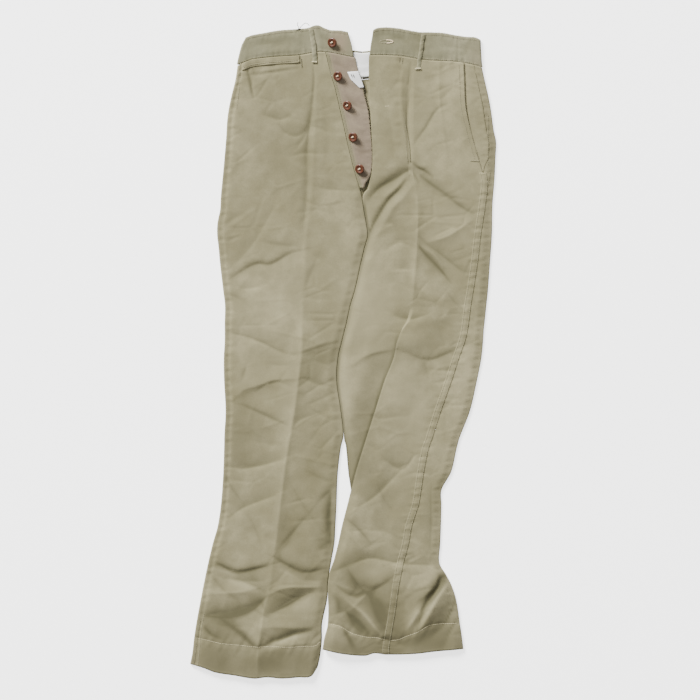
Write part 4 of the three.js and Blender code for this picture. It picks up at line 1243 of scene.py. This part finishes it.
# how far down the band its rows are, closer together at its edges
BAND_SHARES = np.array([
    0, 0.02, 0.05, 0.1, 0.17, 0.25, 0.34, 0.43, 0.52, 0.61, 0.7, 0.78, 0.85, 0.91, 0.95, 0.98, 1])


def band_row(half, share):
    """One row of a waistband half: along its front, round the side and along its back."""
    edges, way = half["edges"], half["way"]
    top, seam = (float(at(edges, name, half["fly_end"])) for name in ("top", "seam"))
    fold_x = float(at(BAND_ENDS, half["side"], 22 + 44 * share))
    fly_x = float(at(BAND_ENDS, half["fly"], top + (seam - top) * share))
    path = walk(fly_x, 2 * BAND_ROLL, math.pi if way > 0 else 0, way, [
        (abs(fly_x - fold_x) - BAND_ROLL, 0, BAND_STEPS),
        (math.pi * BAND_ROLL, way * math.pi, BAND_TURN_STEPS),
        (abs(CENTRE_BACK["x"] - fold_x) - BAND_ROLL - SEAM_GAP / 2, 0, 16),
    ])
    row = []
    for i, (x, z, nx, nz) in enumerate(path):
        if i < BAND_STEPS + BAND_TURN_STEPS / 2:
            top, seam = (float(at(edges, name, x)) for name in ("top", "seam"))
        else:
            top, seam = (float(back_line(x, fold_x, at(edges, name, fold_x), CENTRE_BACK[name]))
                         for name in ("top", "seam"))
        row.append([x, top + (seam - top) * share, z, nx, nz])
    return row


def band(side):
    """A waistband half's face and back as grids, with the painted shade of its folds and the wear of its
    edges.
    """
    grid = np.array([band_row(BAND_HALVES[side], share) for share in BAND_SHARES])
    x, down, z, nx, nz = (grid[..., k] for k in range(5))
    on_front = (np.arange(x.shape[1]) <= BAND_STEPS)[None, :] & np.ones(x.shape, dtype=bool)
    share = np.broadcast_to(BAND_SHARES[:, None], x.shape)
    side_x = x[:, BAND_STEPS:BAND_STEPS + 1]
    from_end = ease(np.abs(x - x[:, :1]) / 6) * ease(np.abs(x - side_x) / 8)
    depth, line = folds(x, down, BAND_FOLDS)
    shape = depth + 0.4 * rumple(x, down, 17, 2.0) + 0.25 * rumple(x, down, 7, 6.0)
    for row, seed in ((0.08, 1.0), (0.92, 3.0)):
        shape += -0.4 * beside(share - row, 0.03) + 0.3 * beside(share - row, 0.14) * ripple(x, 9, seed)
    rolled = -0.9 * (1 - ease(share / 0.05)) - 0.4 * (1 - ease((1 - share) / 0.05))
    if side == "left":
        # the side seam passes through this half
        shape += 0.6 * beside(x - 196, 5) * ripple(down, 8, 2.0) - 0.5 * beside(x - 191.5, 1.5)
    up = np.where(on_front, from_end * np.maximum(shape, -1.0) + rolled, 0)
    face = np.stack([x, down, z + up], axis=-1)
    back = np.stack([x - BAND_CLOTH * nx, down, np.maximum(z + up - BAND_CLOTH * nz, 0)], axis=-1)
    # painted shade in the band's folds and along their lines
    fold_depth = np.where(on_front, np.clip(shape / 3.0 + 0.5 * line, -1, 0), 0)
    worn = np.where(on_front, 0.7 * (1 - ease(share / 0.06)) + 0.15 * (1 - ease((1 - share) / 0.06)), 0)
    return face, back, fold_depth, worn


# the same twill, washed greyer where it is doubled, so its colours are a little cooler
# its fourth colour is the painted shade of folds
band_cloth = twill("cotton_twill_waistband", "#89846b", "#737057", "#68644a", "#423f28", "#82745f", ribs=0.4)
band_right_grid = band("right")
waistband_right = cloth_piece("waistband_right_cloth", *band_right_grid)
mark(waistband_right, "waistband_right", band_cloth)
band_left_grid = band("left")
waistband_left = cloth_piece("waistband_left_cloth", *band_left_grid)
mark(waistband_left, "waistband_left", band_cloth)

# Waistband lining
# A strip of plain white cotton on the inside of the back, with a stay along its lower edge, seen
# through the open fly.
LINING_DEPTH = 40.5


def blended(name, first, second, roughness, ior=1.5, **pattern):
    """A material whose colour wanders between two close tones in a noise pattern."""
    material = bpy.data.materials.new(name)
    material.use_nodes = True
    surface = material.node_tree.nodes["Principled BSDF"]
    surface.inputs["Roughness"].default_value = roughness
    surface.inputs["IOR"].default_value = ior
    place = add_node(material, "ShaderNodeTexCoord").outputs["Object"]
    wander = add_node(material, "ShaderNodeTexNoise", pattern, {"Vector": place})
    tint = add_node(material, "ShaderNodeMixRGB", {"Color1": linear(first), "Color2": linear(second)},
                    {"Fac": wander.outputs["Fac"]})
    material.node_tree.links.new(tint.outputs["Color"], surface.inputs["Base Color"])
    return material


def roughened(material, strength, distance, **pattern):
    """Gives a material a fine relief in a noise pattern."""
    place = add_node(material, "ShaderNodeTexCoord").outputs["Object"]
    grain = add_node(material, "ShaderNodeTexNoise", pattern, {"Vector": place})
    bump = add_node(material, "ShaderNodeBump", {"Strength": strength, "Distance": distance},
                    {"Height": grain.outputs["Fac"]})
    surface = material.node_tree.nodes["Principled BSDF"]
    material.node_tree.links.new(bump.outputs["Normal"], surface.inputs["Normal"])


# plain-woven bleached cotton, matt, with a faint grain of yarns drawn 1 mm apart so that they show
cotton = blended("white_cotton", "#d9d9d8", "#e9e8e3", 0.9, Scale=160.0, Detail=4.0)
cotton.node_tree.nodes["Principled BSDF"].inputs["Sheen Weight"].default_value = 0.1
roughened(cotton, 0.3, 0.0003, Scale=900.0)

rows = []
for share in np.linspace(0, 1, 18):
    row = []
    for x in np.linspace(-22, 78, 60):
        side, edge = (-176, 22) if x < CENTRE_BACK["x"] else (232, 26)
        top = float(back_line(x, side, edge, CENTRE_BACK["top"])) + 3
        crease = 0.7 * float(ease((share - 0.52 - 0.02 * math.sin(x / 9)) / 0.05))
        stay = 0.6 * float(ease((share - 0.84) / 0.05))
        slack = 0.25 * math.sin(x / 5.3 + share * 4)
        row.append([x, top + LINING_DEPTH * share, 3.3 + stay + crease + slack])
    rows.append(row)
face, back = flat_sheet(rows, 0.7)
lining = cloth_piece("waistband_lining_cloth", face, back)
mark(lining, "waistband_lining", cotton)

# Button stand
# Two layers of twill along the right edge of the fly, faded and a little pink, with a frayed raw
# edge. The five buttons are fixed to it and to the end of the waistband.
STAND_CLOTH = 1.8
STAND_COLUMNS = 34
STAND_EDGE = table("down x", [
    [53, 18], [72, 22.5], [105, 32.5], [125, 37], [145, 41.7], [175, 45], [200, 47.2], [225, 48],
    [245, 46], [256, 42], [264, 36.5], [275, 33],
])
STAND_FOLDS = [
    (-0.8, 4, 0.3, [(-20, 74), (-4, 78), (10, 82)]),
    (-0.9, 4, 0.3, [(6, 120), (18, 134), (34, 140)]),
    (0.8, 5, 0, [(12, 160), (26, 172), (40, 176)]),
    (-0.8, 4, -0.3, [(16, 205), (32, 212), (44, 210)]),
    (-0.8, 4, 0.3, [(24, 250), (32, 255), (38, 252)]),
]


def front_height(down):
    """The height of the fronts' cloth beside the fly."""
    return float(edge_height(down)) + float(at(LEVELS, "loft", down))


rows = []
stand_x, stand_down = [], []
for down in np.linspace(60, 272, 90):
    start = float(right_inner(down)) + 0.2
    end = float(at(STAND_EDGE, "x", down)) + 0.35 * math.sin(down * 1.9) + 0.3 * math.sin(down * 0.83)
    end += 0.9 * float(ease((down - 118) / 15))
    xs = np.linspace(start, end, STAND_COLUMNS)
    line = np.full(xs.shape, down)
    ys = shifted(line, band_seam_right(xs), RIGHT_HEM, 0)
    stand_x.append(xs)
    stand_down.append(line)
    rows.append([[x, y, front_height(down)] for x, y in zip(xs, ys)])
stand_face, stand_back = flat_sheet(rows, STAND_CLOTH)
stand_x, stand_down = np.array(stand_x), np.array(stand_down)
from_front, from_edge = stand_x - stand_x[:, :1], stand_x[:, -1:] - stand_x
shape = folds(stand_x, stand_down, STAND_FOLDS)[0] + 0.5 * rumple(stand_x, stand_down, 14, 4.0)
shape += -0.5 * beside(from_front - 4, 1.6)
shape += 0.3 * beside(6 - from_edge, 5) * ripple(stand_down, 9, 1.0)
shape *= ease(from_front / 2)
rolled = -0.8 * (1 - ease(from_edge / 2.2))
stand_face[..., 2] += shape + rolled
stand_back[..., 2] += shape + rolled
stand_worn = 0.8 * (1 - ease(from_edge / 3)) - 1.0 * (1 - ease(from_front / 11))
# the same twill, faded by rubbing and a little pink
# its fourth colour is the painted shade of folds
faded = twill("cotton_twill_fly_faded", "#8f816b", "#7a6d5c", "#6d604f", "#524734", "#757054", ribs=0.4)
# painted shade in the stand's troughs, darker the deeper they sink
stand = cloth_piece("button_stand_cloth", stand_face, stand_back, np.clip(shape / 2.4, -1, 1), stand_worn)
mark(stand, "button_stand", faded)

# Buttonhole facing
# The strip of faded twill under the left edge of the fly, which holds the buttonholes and narrows
# towards the fly's foot.
rows = []
for down in np.linspace(60, 240, 50):
    start = float(left_inner(down)) + 2
    width = 45 - max(down - 188, 0) * 0.5
    z = front_height(down) - CLOTH - SEAM_GAP - 0.6
    xs = np.linspace(start, start + width, 16)
    rows.append([[x, float(shifted(down, band_seam_left(x), LEFT_HEM, 0)), z] for x in xs])
face, back = flat_sheet(rows, CLOTH)
facing = cloth_piece("buttonhole_facing_cloth", face, back)
mark(facing, "buttonhole_facing", faded)

# Side pocket of the left front
# The facing of twill behind the pocket's mouth, which shows between the stitched mouth and the side
# and is sewn into the outside seam.
rows = []
for down in np.linspace(60, FELL_TOP, 70):
    seam = float(at(LEFT, "seam", down))
    turn = float(at(LEFT, "outer", down)) - float(edge_height(down)) / 2
    end = turn - 12 + (seam - turn + 12) * pocket_share(down) + 1.6
    xs = np.linspace(seam - 18, max(end, seam - 17), 26)
    line = np.full(xs.shape, down)
    ys = shifted(line, band_seam_left(xs), LEFT_HEM, 0)
    zs = edge_height(line) + lift(xs, line, left_leg)
    under = 0.6 * (1 - ease((xs - seam + 6) / 8)) - 0.2 * ease((xs - end + 7) / 5)
    under -= 0.35 * beside(xs - end + 6, 5) * ripple(line, 9, 2.2)
    rows.append([[x, y, z - u] for x, y, z, u in zip(xs, ys, zs, under)])
face, back = flat_sheet(rows, CLOTH)
pocket = cloth_piece("pocket_facing_left_cloth", face, back)
mark(pocket, "pocket_facing_left", khaki)

# Watch pocket
# A narrow welt of folded twill under the right half of the waistband, sewn along its middle and
# open along its lower edge.


def on_right(x, down):
    """The point of the right front's upper face."""
    return on_face(front_right_grid, x, down, TOP_FIRST, TOP_LAST)


rows = []
for share in np.linspace(0, 1, 14):
    row = []
    for x in np.linspace(-168, -72, 70):
        seam = float(at(BAND_RIGHT, "seam", x))
        rise = 0.3 * math.sin(x / 7.1) * share + 0.4 * math.exp(-(((share - 0.8) / 0.12) ** 2))
        groove = -0.35 * math.exp(-(((share - 0.62) / 0.07) ** 2))
        below = on_right(x, WAIST_ROW + 1.2 + 12 * share)[2]
        row.append([x, seam + 0.6 + 12.2 * share, below + 0.9 + rise + groove])
    rows.append(row)
face, back = flat_sheet(rows, 1.2)
worn = np.zeros(face.shape[:2])
worn[-3:] = 0.45
welt = cloth_piece("watch_pocket_welt_cloth", face, back, None, worn)
mark(welt, "watch_pocket_welt", khaki)

# Belt loops
# Narrow straps of folded twill over the waistband, held by a bar of close stitches at the lower end.
LOOP_RIGHT = table("step x down over", [
    [0, -54, 6.5, 0], [1, -51, 20, 0.3], [2, -48.8, 35, 0.5], [3, -47.2, 50, 0.4], [4, -46.8, 62.5, 0.1],
])
LOOP_LEFT = table("step x down over", [
    [0, 133.4, 16, 0], [1, 132, 28, 0.3], [2, 130, 42, 0.5], [3, 127.5, 58, 0.4], [4, 125.6, 73, 0.1],
])


def belt_loop(name, node, tab, width):
    """A folded strap along its line, crowned, with a groove along each edge."""
    rows = []
    for step in np.linspace(0, 4, 44):
        x, down, up = (float(at(tab, key, step)) for key in ("x", "down", "over"))
        x += 0.3 * math.sin(step * 4)
        row = []
        for across in np.linspace(-1, 1, 13):
            crown = 0.9 * math.sqrt(max(1 - across ** 2, 0))
            groove = -0.25 * math.exp(-(((abs(across) - 0.62) / 0.1) ** 2))
            waver = 0.3 * math.sin(step * 5.1) + 0.12 * math.sin(step * 11.3 + across * 2)
            row.append([x + across * width / 2, down, 6.3 + up + crown + groove + waver])
        rows.append(row)
    face, back = flat_sheet(rows, 1.3)
    worn = np.zeros(face.shape[:2])
    worn[:, [0, 1, -2, -1]] = 0.4
    loop = cloth_piece(name, face, back, None, worn)
    mark(loop, node, band_cloth)


belt_loop("belt_loop_right_cloth", "belt_loop_right", LOOP_RIGHT, 7.5)
belt_loop("belt_loop_left_cloth", "belt_loop_left", LOOP_LEFT, 6.5)

# Tag
# A small bare tag of white cotton tape, which lies folded on the edge of the button stand and is held
# there by two stitches.
TAG_SIDES = table("step left right leftDown rightDown", [
    [0, 7.3, 25.5, 78.5, 77.2],
    [0.45, 13, 29.5, 91, 88],
    [1, 28.3, 35, 105.4, 104],
])
rows = []
for t in np.linspace(0, 1, 16):
    left, right, left_down, right_down = (float(straight(TAG_SIDES, name, t)) for name in TAG_SIDES[0][1:])
    row = []
    for s in np.linspace(0, 1, 14):
        x, down = left + (right - left) * s, left_down + (right_down - left_down) * s
        z = front_height(down) + 1.7 + 0.8 * math.sin(3.14 * s) * (1 - t) + 0.3 * math.sin(5 * t)
        row.append([x, down, z])
    rows.append(row)
face, back = flat_sheet(rows, 0.5)
tag = cloth_piece("tag_tape", face, back)
mark(tag, "tag", cotton)

# Fly buttons
# Moulded brown buttons, 16 mm across, with a raised rim, a hollow middle and a tuft of pale thread.
# Each leans over on the shank of thread that holds it.
BUTTONS = [(-18, 29.8), (-8.5, 85.7), (7.3, 134.8), (16.7, 187.3), (27.8, 240.3)]
BAND_FACE = 5.8
BUTTON_LEAN = 0.56
BUTTON_SHANK = 3.5
# moulded polyester in two mixed browns, polished, so it has a soft shine and swirls 4 mm across
resin = blended("polyester_resin_brown", "#2e1405", "#5f2c0c", 0.38, 1.55,
                Scale=260.0, Detail=4.0, Distortion=1.5)
roughened(resin, 0.15, 0.0002, Scale=260.0, Detail=4.0, Distortion=1.5)
# spun cotton in its natural colour, matt, with the twist of the thread as fine flecks
thread = blended("cotton_thread_ecru", "#b39c78", "#e2d3b4", 0.85, Scale=700.0)


def join_as(name, objects):
    """Several meshes made one piece."""
    bpy.ops.object.select_all(action="DESELECT")
    for piece in objects:
        piece.select_set(True)
    bpy.context.view_layer.objects.active = objects[0]
    bpy.ops.object.join()
    objects[0].name = name
    return objects[0]


def turned_button(n, x, down):
    """A disc whose face is sunk inside a rounded rim, leaning to the lower left."""
    bpy.ops.object.select_all(action="DESELECT")
    bpy.ops.mesh.primitive_cylinder_add(vertices=40, radius=0.008, depth=0.0024)
    disc = bpy.context.object
    bpy.ops.object.mode_set(mode="EDIT")
    bpy.ops.mesh.select_mode(type="FACE")
    bpy.ops.mesh.select_all(action="DESELECT")
    bpy.ops.object.mode_set(mode="OBJECT")
    for face in disc.data.polygons:
        face.select = face.normal.z > 0.9
    bpy.ops.object.mode_set(mode="EDIT")
    bpy.ops.mesh.inset(thickness=0.0016, depth=0.0007)
    bpy.ops.mesh.inset(thickness=0.0016, depth=-0.0006)
    bpy.ops.mesh.inset(thickness=0.0018, depth=-0.0009)
    bpy.ops.object.mode_set(mode="OBJECT")
    bevel = disc.modifiers.new("rounding", "BEVEL")
    bevel.width = 0.0005
    bevel.segments = 2
    bevel.limit_method = "ANGLE"
    bevel.angle_limit = math.radians(35)
    bpy.ops.object.modifier_apply(modifier=bevel.name)
    bpy.ops.object.shade_smooth_by_angle(angle=math.radians(40))
    up = front_height(down) if n > 1 else BAND_FACE
    axis = Vector((math.cos(-1.0), math.sin(-1.0), 0))
    lean = Matrix.Rotation(BUTTON_LEAN - 0.05 * (n % 3), 4, axis)
    centre = Vector(metres([x, down, up + BUTTON_SHANK]).tolist())
    disc.data.transform(Matrix.Translation(centre) @ lean)
    disc.name = f"fly_button_{n}"
    disc.data.materials.append(resin)
    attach(disc, "root")
    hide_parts(f"button_{n}")
    strands = []
    for k, angle in enumerate((0.2, 0.9, -0.5)):
        bpy.ops.mesh.primitive_cylinder_add(vertices=8, radius=0.0006, depth=0.0046 - 0.0006 * k)
        strand = bpy.context.object
        bend = Matrix.Translation(Vector((0.0007 * (k - 1), 0.0004 * k, 0.0009 + 0.0003 * k)))
        strand.data.transform(bend @ Matrix.Rotation(angle, 4, "Z") @ Matrix.Rotation(math.pi / 2, 4, "Y"))
        strands.append(strand)
    bpy.ops.mesh.primitive_cylinder_add(vertices=12, radius=0.0018, depth=0.0042)
    neck = bpy.context.object
    neck.data.transform(Matrix.Translation(Vector((0, 0, -0.0022))))
    strands.append(neck)
    tuft = join_as(f"button_thread_{n}", strands)
    tuft.data.transform(Matrix.Translation(centre) @ lean)
    bpy.ops.object.shade_smooth()
    tuft.data.materials.append(thread)
    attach(tuft, "root")


for n, (x, down) in enumerate(BUTTONS, 1):
    turned_button(n, x, down)

# Stitching
# Rows of cotton thread in stitches of about 3 mm, a little darker than the cloth along the seams and
# paler at the hems, where it has washed out.
PRISM = np.array([[-0.5, -0.5, 0], [-0.5, 0.5, 0], [0.5, 0.5, 0], [0.5, -0.5, 0],
                  [-0.36, -0.3, 1], [-0.36, 0.3, 1], [0.36, 0.3, 1], [0.36, -0.3, 1]])
PRISM_FACES = np.array([[0, 1, 2, 3], [7, 6, 5, 4], [0, 4, 5, 1], [1, 5, 6, 2], [2, 6, 7, 3], [3, 7, 4, 0]])
# spun cotton again, dyed or washed to another tone and matt, so only the colours differ
seam_thread = blended("cotton_thread_khaki", "#6f6a50", "#948e72", 0.85, Scale=90.0)
pale_thread = blended("cotton_thread_pale", "#9c9474", "#c2b995", 0.85, Scale=90.0)


def stitches(name, lines, material=None, length=2.7, gap=0.8, width=0.7, height=0.5):
    """Small raised stitches laid end to end along lines of (x, down, height) points."""
    points, faces = [], []
    for line in lines:
        line = np.array(line, dtype=float)
        steps = np.sqrt((np.diff(line, axis=0) ** 2).sum(axis=1))
        done = np.concatenate([[0], np.cumsum(steps)])
        for start in np.arange(0, done[-1] - length, length + gap):
            a, b = ([np.interp(s, done, line[:, k]) for k in range(3)] for s in (start, start + length))
            a, b = np.array(a), np.array(b)
            along = (b - a) / np.linalg.norm(b - a)
            across = np.array([-along[1], along[0], 0])
            across /= np.linalg.norm(across)
            base = (a + b) / 2
            faces.extend((PRISM_FACES + len(points)).tolist())
            for px, py, pz in PRISM:
                up = [0, 0, pz * height - 0.15]
                points.append(base + along * px * (length + 0.4) + across * py * width + up)
    mesh = bpy.data.meshes.new(name)
    mesh.from_pydata(metres(points).tolist(), [], faces)
    piece = bpy.data.objects.new(name, mesh)
    bpy.context.collection.objects.link(piece)
    bpy.ops.object.select_all(action="DESELECT")
    piece.select_set(True)
    bpy.context.view_layer.objects.active = piece
    bpy.ops.object.mode_set(mode="EDIT")
    bpy.ops.mesh.select_all(action="SELECT")
    bpy.ops.mesh.normals_make_consistent(inside=False)
    bpy.ops.object.mode_set(mode="OBJECT")
    mesh.materials.append(material or seam_thread)
    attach(piece, "root")
    return piece


def placed(on, x, y):
    """The point of a leg's face at a place seen from above."""
    down = y
    for _ in range(5):
        down += y - on(x, down)[1]
    return on(x, down)


def on_stand(x, down):
    """The height of the button stand's face, from its row nearest to that place."""
    k = int(np.argmin(np.abs(stand_face[:, STAND_COLUMNS // 2, 1] - down)))
    return float(np.interp(x, stand_face[k, :, 0], stand_face[k, :, 2]))


def over(points, up):
    """The same points, higher up."""
    return [[x, y, z + up] for x, y, z in points]


def sewn(on, path, up=0.1):
    """A smooth line through places on a leg's face."""
    return over([placed(on, x, y) for x, y in rounded(path, 14)], up)


def band_line(grid, rows, first=1, last=BAND_STEPS - 1):
    """Points along rows of a waistband's face, from its own grid."""
    return [over(grid[0][row, first:last].tolist(), 0.05) for row in rows]


for name, on, down, ends in (
    ("hem_stitches_right", on_right, RIGHT_HEM - HEM_DEPTH, (-246, -38)),
    ("hem_stitches_left", on_left, LEFT_HEM - HEM_DEPTH, (-20, 192)),
):
    stitches(name, [over([on(x, down) for x in np.linspace(*ends, 130)], 0.1)], pale_thread)
stitches("outseam_stitches_left", [over(fell_face[:, k].tolist(), 0.05) for k in (2, 6)])
stitches("waistband_stitches_right", band_line(band_right_grid, (3, 14)))
stitches("waistband_stitches_left", band_line(band_left_grid, (3, 14)))
stitches("fly_stitches", [
    sewn(on_left, [(94, 55), (93, 100), (94, 142), (100, 172), (105, 200), (108, 232)]),
    sewn(on_left, [(99, 55), (98.5, 100), (99, 142), (105, 172), (110, 200), (112, 228)]),
])
POCKET_MOUTH = [(202, 66), (203, 84), (204, 113), (206, 140), (213, 170), (219, 194), (226, 215), (229, 226)]
stitches("pocket_stitches_left", [
    sewn(on_left, [(x - side, y) for x, y in POCKET_MOUTH]) for side in (2, 9)])
stitches("side_seam_stitches_left", [
    sewn(on_left, [(243, 262), (245, 244)], 0.2),
    over([on_face(back_left_grid, 242, d, 0, BACK_TOP_LAST) for d in np.linspace(150, 236, 40)], 0.15),
])
stitches("side_seam_stitches_right", [
    sewn(on_right, [(-171, 78), (-172, 96), (-174, 115), (-177, 140)]),
    sewn(on_right, [(-231, 980), (-236, 1008), (-239, 1040), (-242, 1068)]),
    sewn(on_right, [(-238, 992), (-241, 1010), (-245, 1040), (-248, 1064)]),
])
stand_line = []
for down in np.linspace(62, 262, 120):
    inner = float(right_inner(down))
    y = float(shifted(down, band_seam_right(inner), RIGHT_HEM, 0))
    stand_line.append([inner + 4, y, on_stand(inner + 4, y) + 0.1])
stitches("button_stand_stitches", [stand_line])
stitches("watch_pocket_stitches", [[
    [x, float(at(BAND_RIGHT, "seam", x)) + 8.8, on_right(x, 70)[2] + 1.6] for x in np.linspace(-165, -74, 60)
]])

# Bars of close stitches
# Where a seam takes a pull, bars of close stitches hold the ends of the belt loops, the watch pocket
# and the mouth of the side pocket.
BARS = [
    ("belt_loop_right_bar", on_right, [(-51.8, 61.2), (-42.6, 61.8)], 1.7, pale_thread, 2.4),
    ("belt_loop_left_bar", on_left, [(120, 73.2), (130.4, 72.2)], 1.7, pale_thread, 2.6),
    ("watch_pocket_bar", on_right, [(-70, 55.5), (-69, 70)], 0.9, seam_thread, 1.0),
    ("pocket_mouth_bar", on_left, [(212, 226), (227, 227)], 0.3, seam_thread, 1.4),
    ("fly_mark_upper", on_left, [(62, 83.5), (82, 82.5)], 0.2, pale_thread, 1.2),
    ("fly_mark_lower", on_left, [(70, 135.5), (82, 134.5)], 0.2, pale_thread, 1.2),
]
for name, on, path, up, material, width in BARS:
    middle = tuple(np.mean(path, axis=0))
    stitches(name, [sewn(on, [path[0], middle, path[1]], up)],
             material, length=1.1, gap=0.1, width=width, height=0.6)

# Buttonhole
# Close stitches of cotton thread that bind a slot in the left end of the waistband, pale at the end
# nearer to the fly's edge and worn flat at the other.
HOLE = {"x": 72.5, "down": 27.5, "length": 22, "height": 5.2}
HOLE_TURNS = 48


def band_top(x):
    """The height of the left waistband's face, along its middle row."""
    row = band_left_grid[0][8]
    return float(np.interp(x, row[1:BAND_STEPS - 1, 0], row[1:BAND_STEPS - 1, 2]))


ring = []
for turn in np.linspace(0, 2 * math.pi, HOLE_TURNS + 1):
    x = HOLE["x"] + HOLE["length"] / 2 * math.cos(turn)
    y = HOLE["down"] + HOLE["height"] / 2 * math.sin(turn) - 0.04 * math.cos(turn)
    ring.append([x, y, band_top(x) + 0.15])
stitches("buttonhole_pale_end", [ring[:13], ring[36:]], thread, length=0.9, gap=0.05, width=1.9, height=0.8)
stitches("buttonhole_worn_end", [ring[12:37]], seam_thread, length=0.9, gap=0.05, width=1.3, height=0.5)

# Frayed edges and loose ends
# Cotton threads that have worked loose from the raw edge of the button stand and the top of the
# waistband, grey ones at the top of the right half, and the two stitches that hold the tag.
grey_thread = blended("cotton_thread_grey", "#4c4b46", "#6e6c66", 0.85, Scale=90.0)
FRAY_STEP = 1.7
fray = []
for k, down in enumerate(np.arange(62, 250, FRAY_STEP)):
    x = float(at(STAND_EDGE, "x", down)) - 0.6
    y = float(shifted(down, band_seam_right(x), RIGHT_HEM, 0))
    reach = 1.5 + 1.1 * math.sin(k * 2.7) + 0.8 * math.sin(k * 1.13)
    z = on_stand(x - 1, y) - 0.3
    fray.append([[x, y, z], [x + max(reach, 0.6), y + 0.8 * math.sin(k * 1.9), z - 0.5]])
for k, x in enumerate(np.arange(57, 228, FRAY_STEP)):
    y = float(at(BAND_LEFT, "top", x)) + 0.4
    reach = 1.1 + 0.8 * math.sin(k * 2.3) + 0.6 * math.sin(k * 0.87)
    fray.append([[x, y, 4.6], [x + 0.9 * math.sin(k * 1.7), y - max(reach, 0.3), 4.3]])
for k, x in enumerate(np.arange(-150, 2, FRAY_STEP * 1.6)):
    y = float(at(BAND_RIGHT, "top", x)) + 0.4
    reach = 0.8 + 0.7 * math.sin(k * 2.1)
    fray.append([[x, y, 4.6], [x + 0.9 * math.sin(k * 1.3), y - max(reach, 0.3), 4.3]])
stitches("frayed_threads", fray, pale_thread, length=0.55, gap=0, width=0.35, height=0.35)
LOOSE = [
    [(-75, 8, 5.6), (-73.5, 4, 6.4), (-76, 0, 6.2), (-75, -5, 5.2)],
    [(-76, 7, 5.8), (-72, 6, 6.8), (-70, 2.5, 6.3), (-66, -1.5, 5.6), (-62.5, -3.5, 5.2), (-58.5, -2, 5),
     (-56, 1, 5.4)],
    [(-78, 8.5, 5.6), (-74, 7, 6.6), (-71.5, 5, 6.0)],
]
stitches("loose_threads", LOOSE, grey_thread, length=1.0, gap=0, width=0.95, height=0.8)
TAG_STITCHES = [[(13.5, 82.5), (15, 86.5)], [(17, 83), (18.5, 87)]]
stitches("tag_stitches", [[[x, y, front_height(y) + 3.2] for x, y in line] for line in TAG_STITCHES],
         grey_thread, length=1.9, gap=0.1, width=1.3, height=0.7)

# Floor, light and camera
# A plain floor of matt paper under soft light from the upper left, seen from straight above. The floor
# glows a little, as it is overexposed in the photograph.
FLOOR_SIZE = 6
floor_paper = bpy.data.materials.new("white_paper")
floor_paper.use_nodes = True
paper = floor_paper.node_tree.nodes["Principled BSDF"]
paper.inputs["Base Color"].default_value = linear("#fbfbfa")
paper.inputs["Roughness"].default_value = 0.9
paper.inputs["Emission Color"].default_value = (1, 1, 1, 1)
paper.inputs["Emission Strength"].default_value = 2.0
bpy.ops.mesh.primitive_plane_add(size=FLOOR_SIZE, location=(0, 0, 0))
floor = bpy.context.object
floor.name = "floor"
floor.data.materials.append(floor_paper)

for name, place, size, power in (
    ("key", (-5.4, 7.8, 4.6), 3.6, 4200),
    ("fill", (1.2, -0.8, 2.6), 2.2, 8),
):
    lamp = bpy.data.lights.new(name, "AREA")
    lamp.size = size
    lamp.energy = power
    light = bpy.data.objects.new(name, lamp)
    light.location = place
    light.rotation_euler = (-Vector(place)).to_track_quat("-Z", "Y").to_euler()
    bpy.context.collection.objects.link(light)
world = bpy.data.worlds.new("studio")
world.use_nodes = True
world.node_tree.nodes["Background"].inputs["Color"].default_value = (1, 1, 1, 1)
world.node_tree.nodes["Background"].inputs["Strength"].default_value = 0.5
bpy.context.scene.world = world

# The photograph is 700 pixels wide at 5/3 mm each, and its middle lies 7 pixels to the right of the
# garment's. The scale holds at the height of the fronts.
MM_PER_PIXEL = 5 / 3
PHOTO_WIDTH = 700 * MM_PER_PIXEL / 1000
PHOTO_MIDDLE = (7 * MM_PER_PIXEL / 1000, 0.003)
CAMERA_HEIGHT = 4.0
FRONTS_HEIGHT = 0.005
SENSOR = 36
lens = bpy.data.cameras.new("camera")
lens.sensor_width = SENSOR
lens.lens = SENSOR * (CAMERA_HEIGHT - FRONTS_HEIGHT) / PHOTO_WIDTH
lens.clip_end = 20
camera = bpy.data.objects.new("camera", lens)
camera.location = (PHOTO_MIDDLE[0] + SHIFT / 1000, PHOTO_MIDDLE[1], CAMERA_HEIGHT)
bpy.context.collection.objects.link(camera)
bpy.context.scene.camera = camera
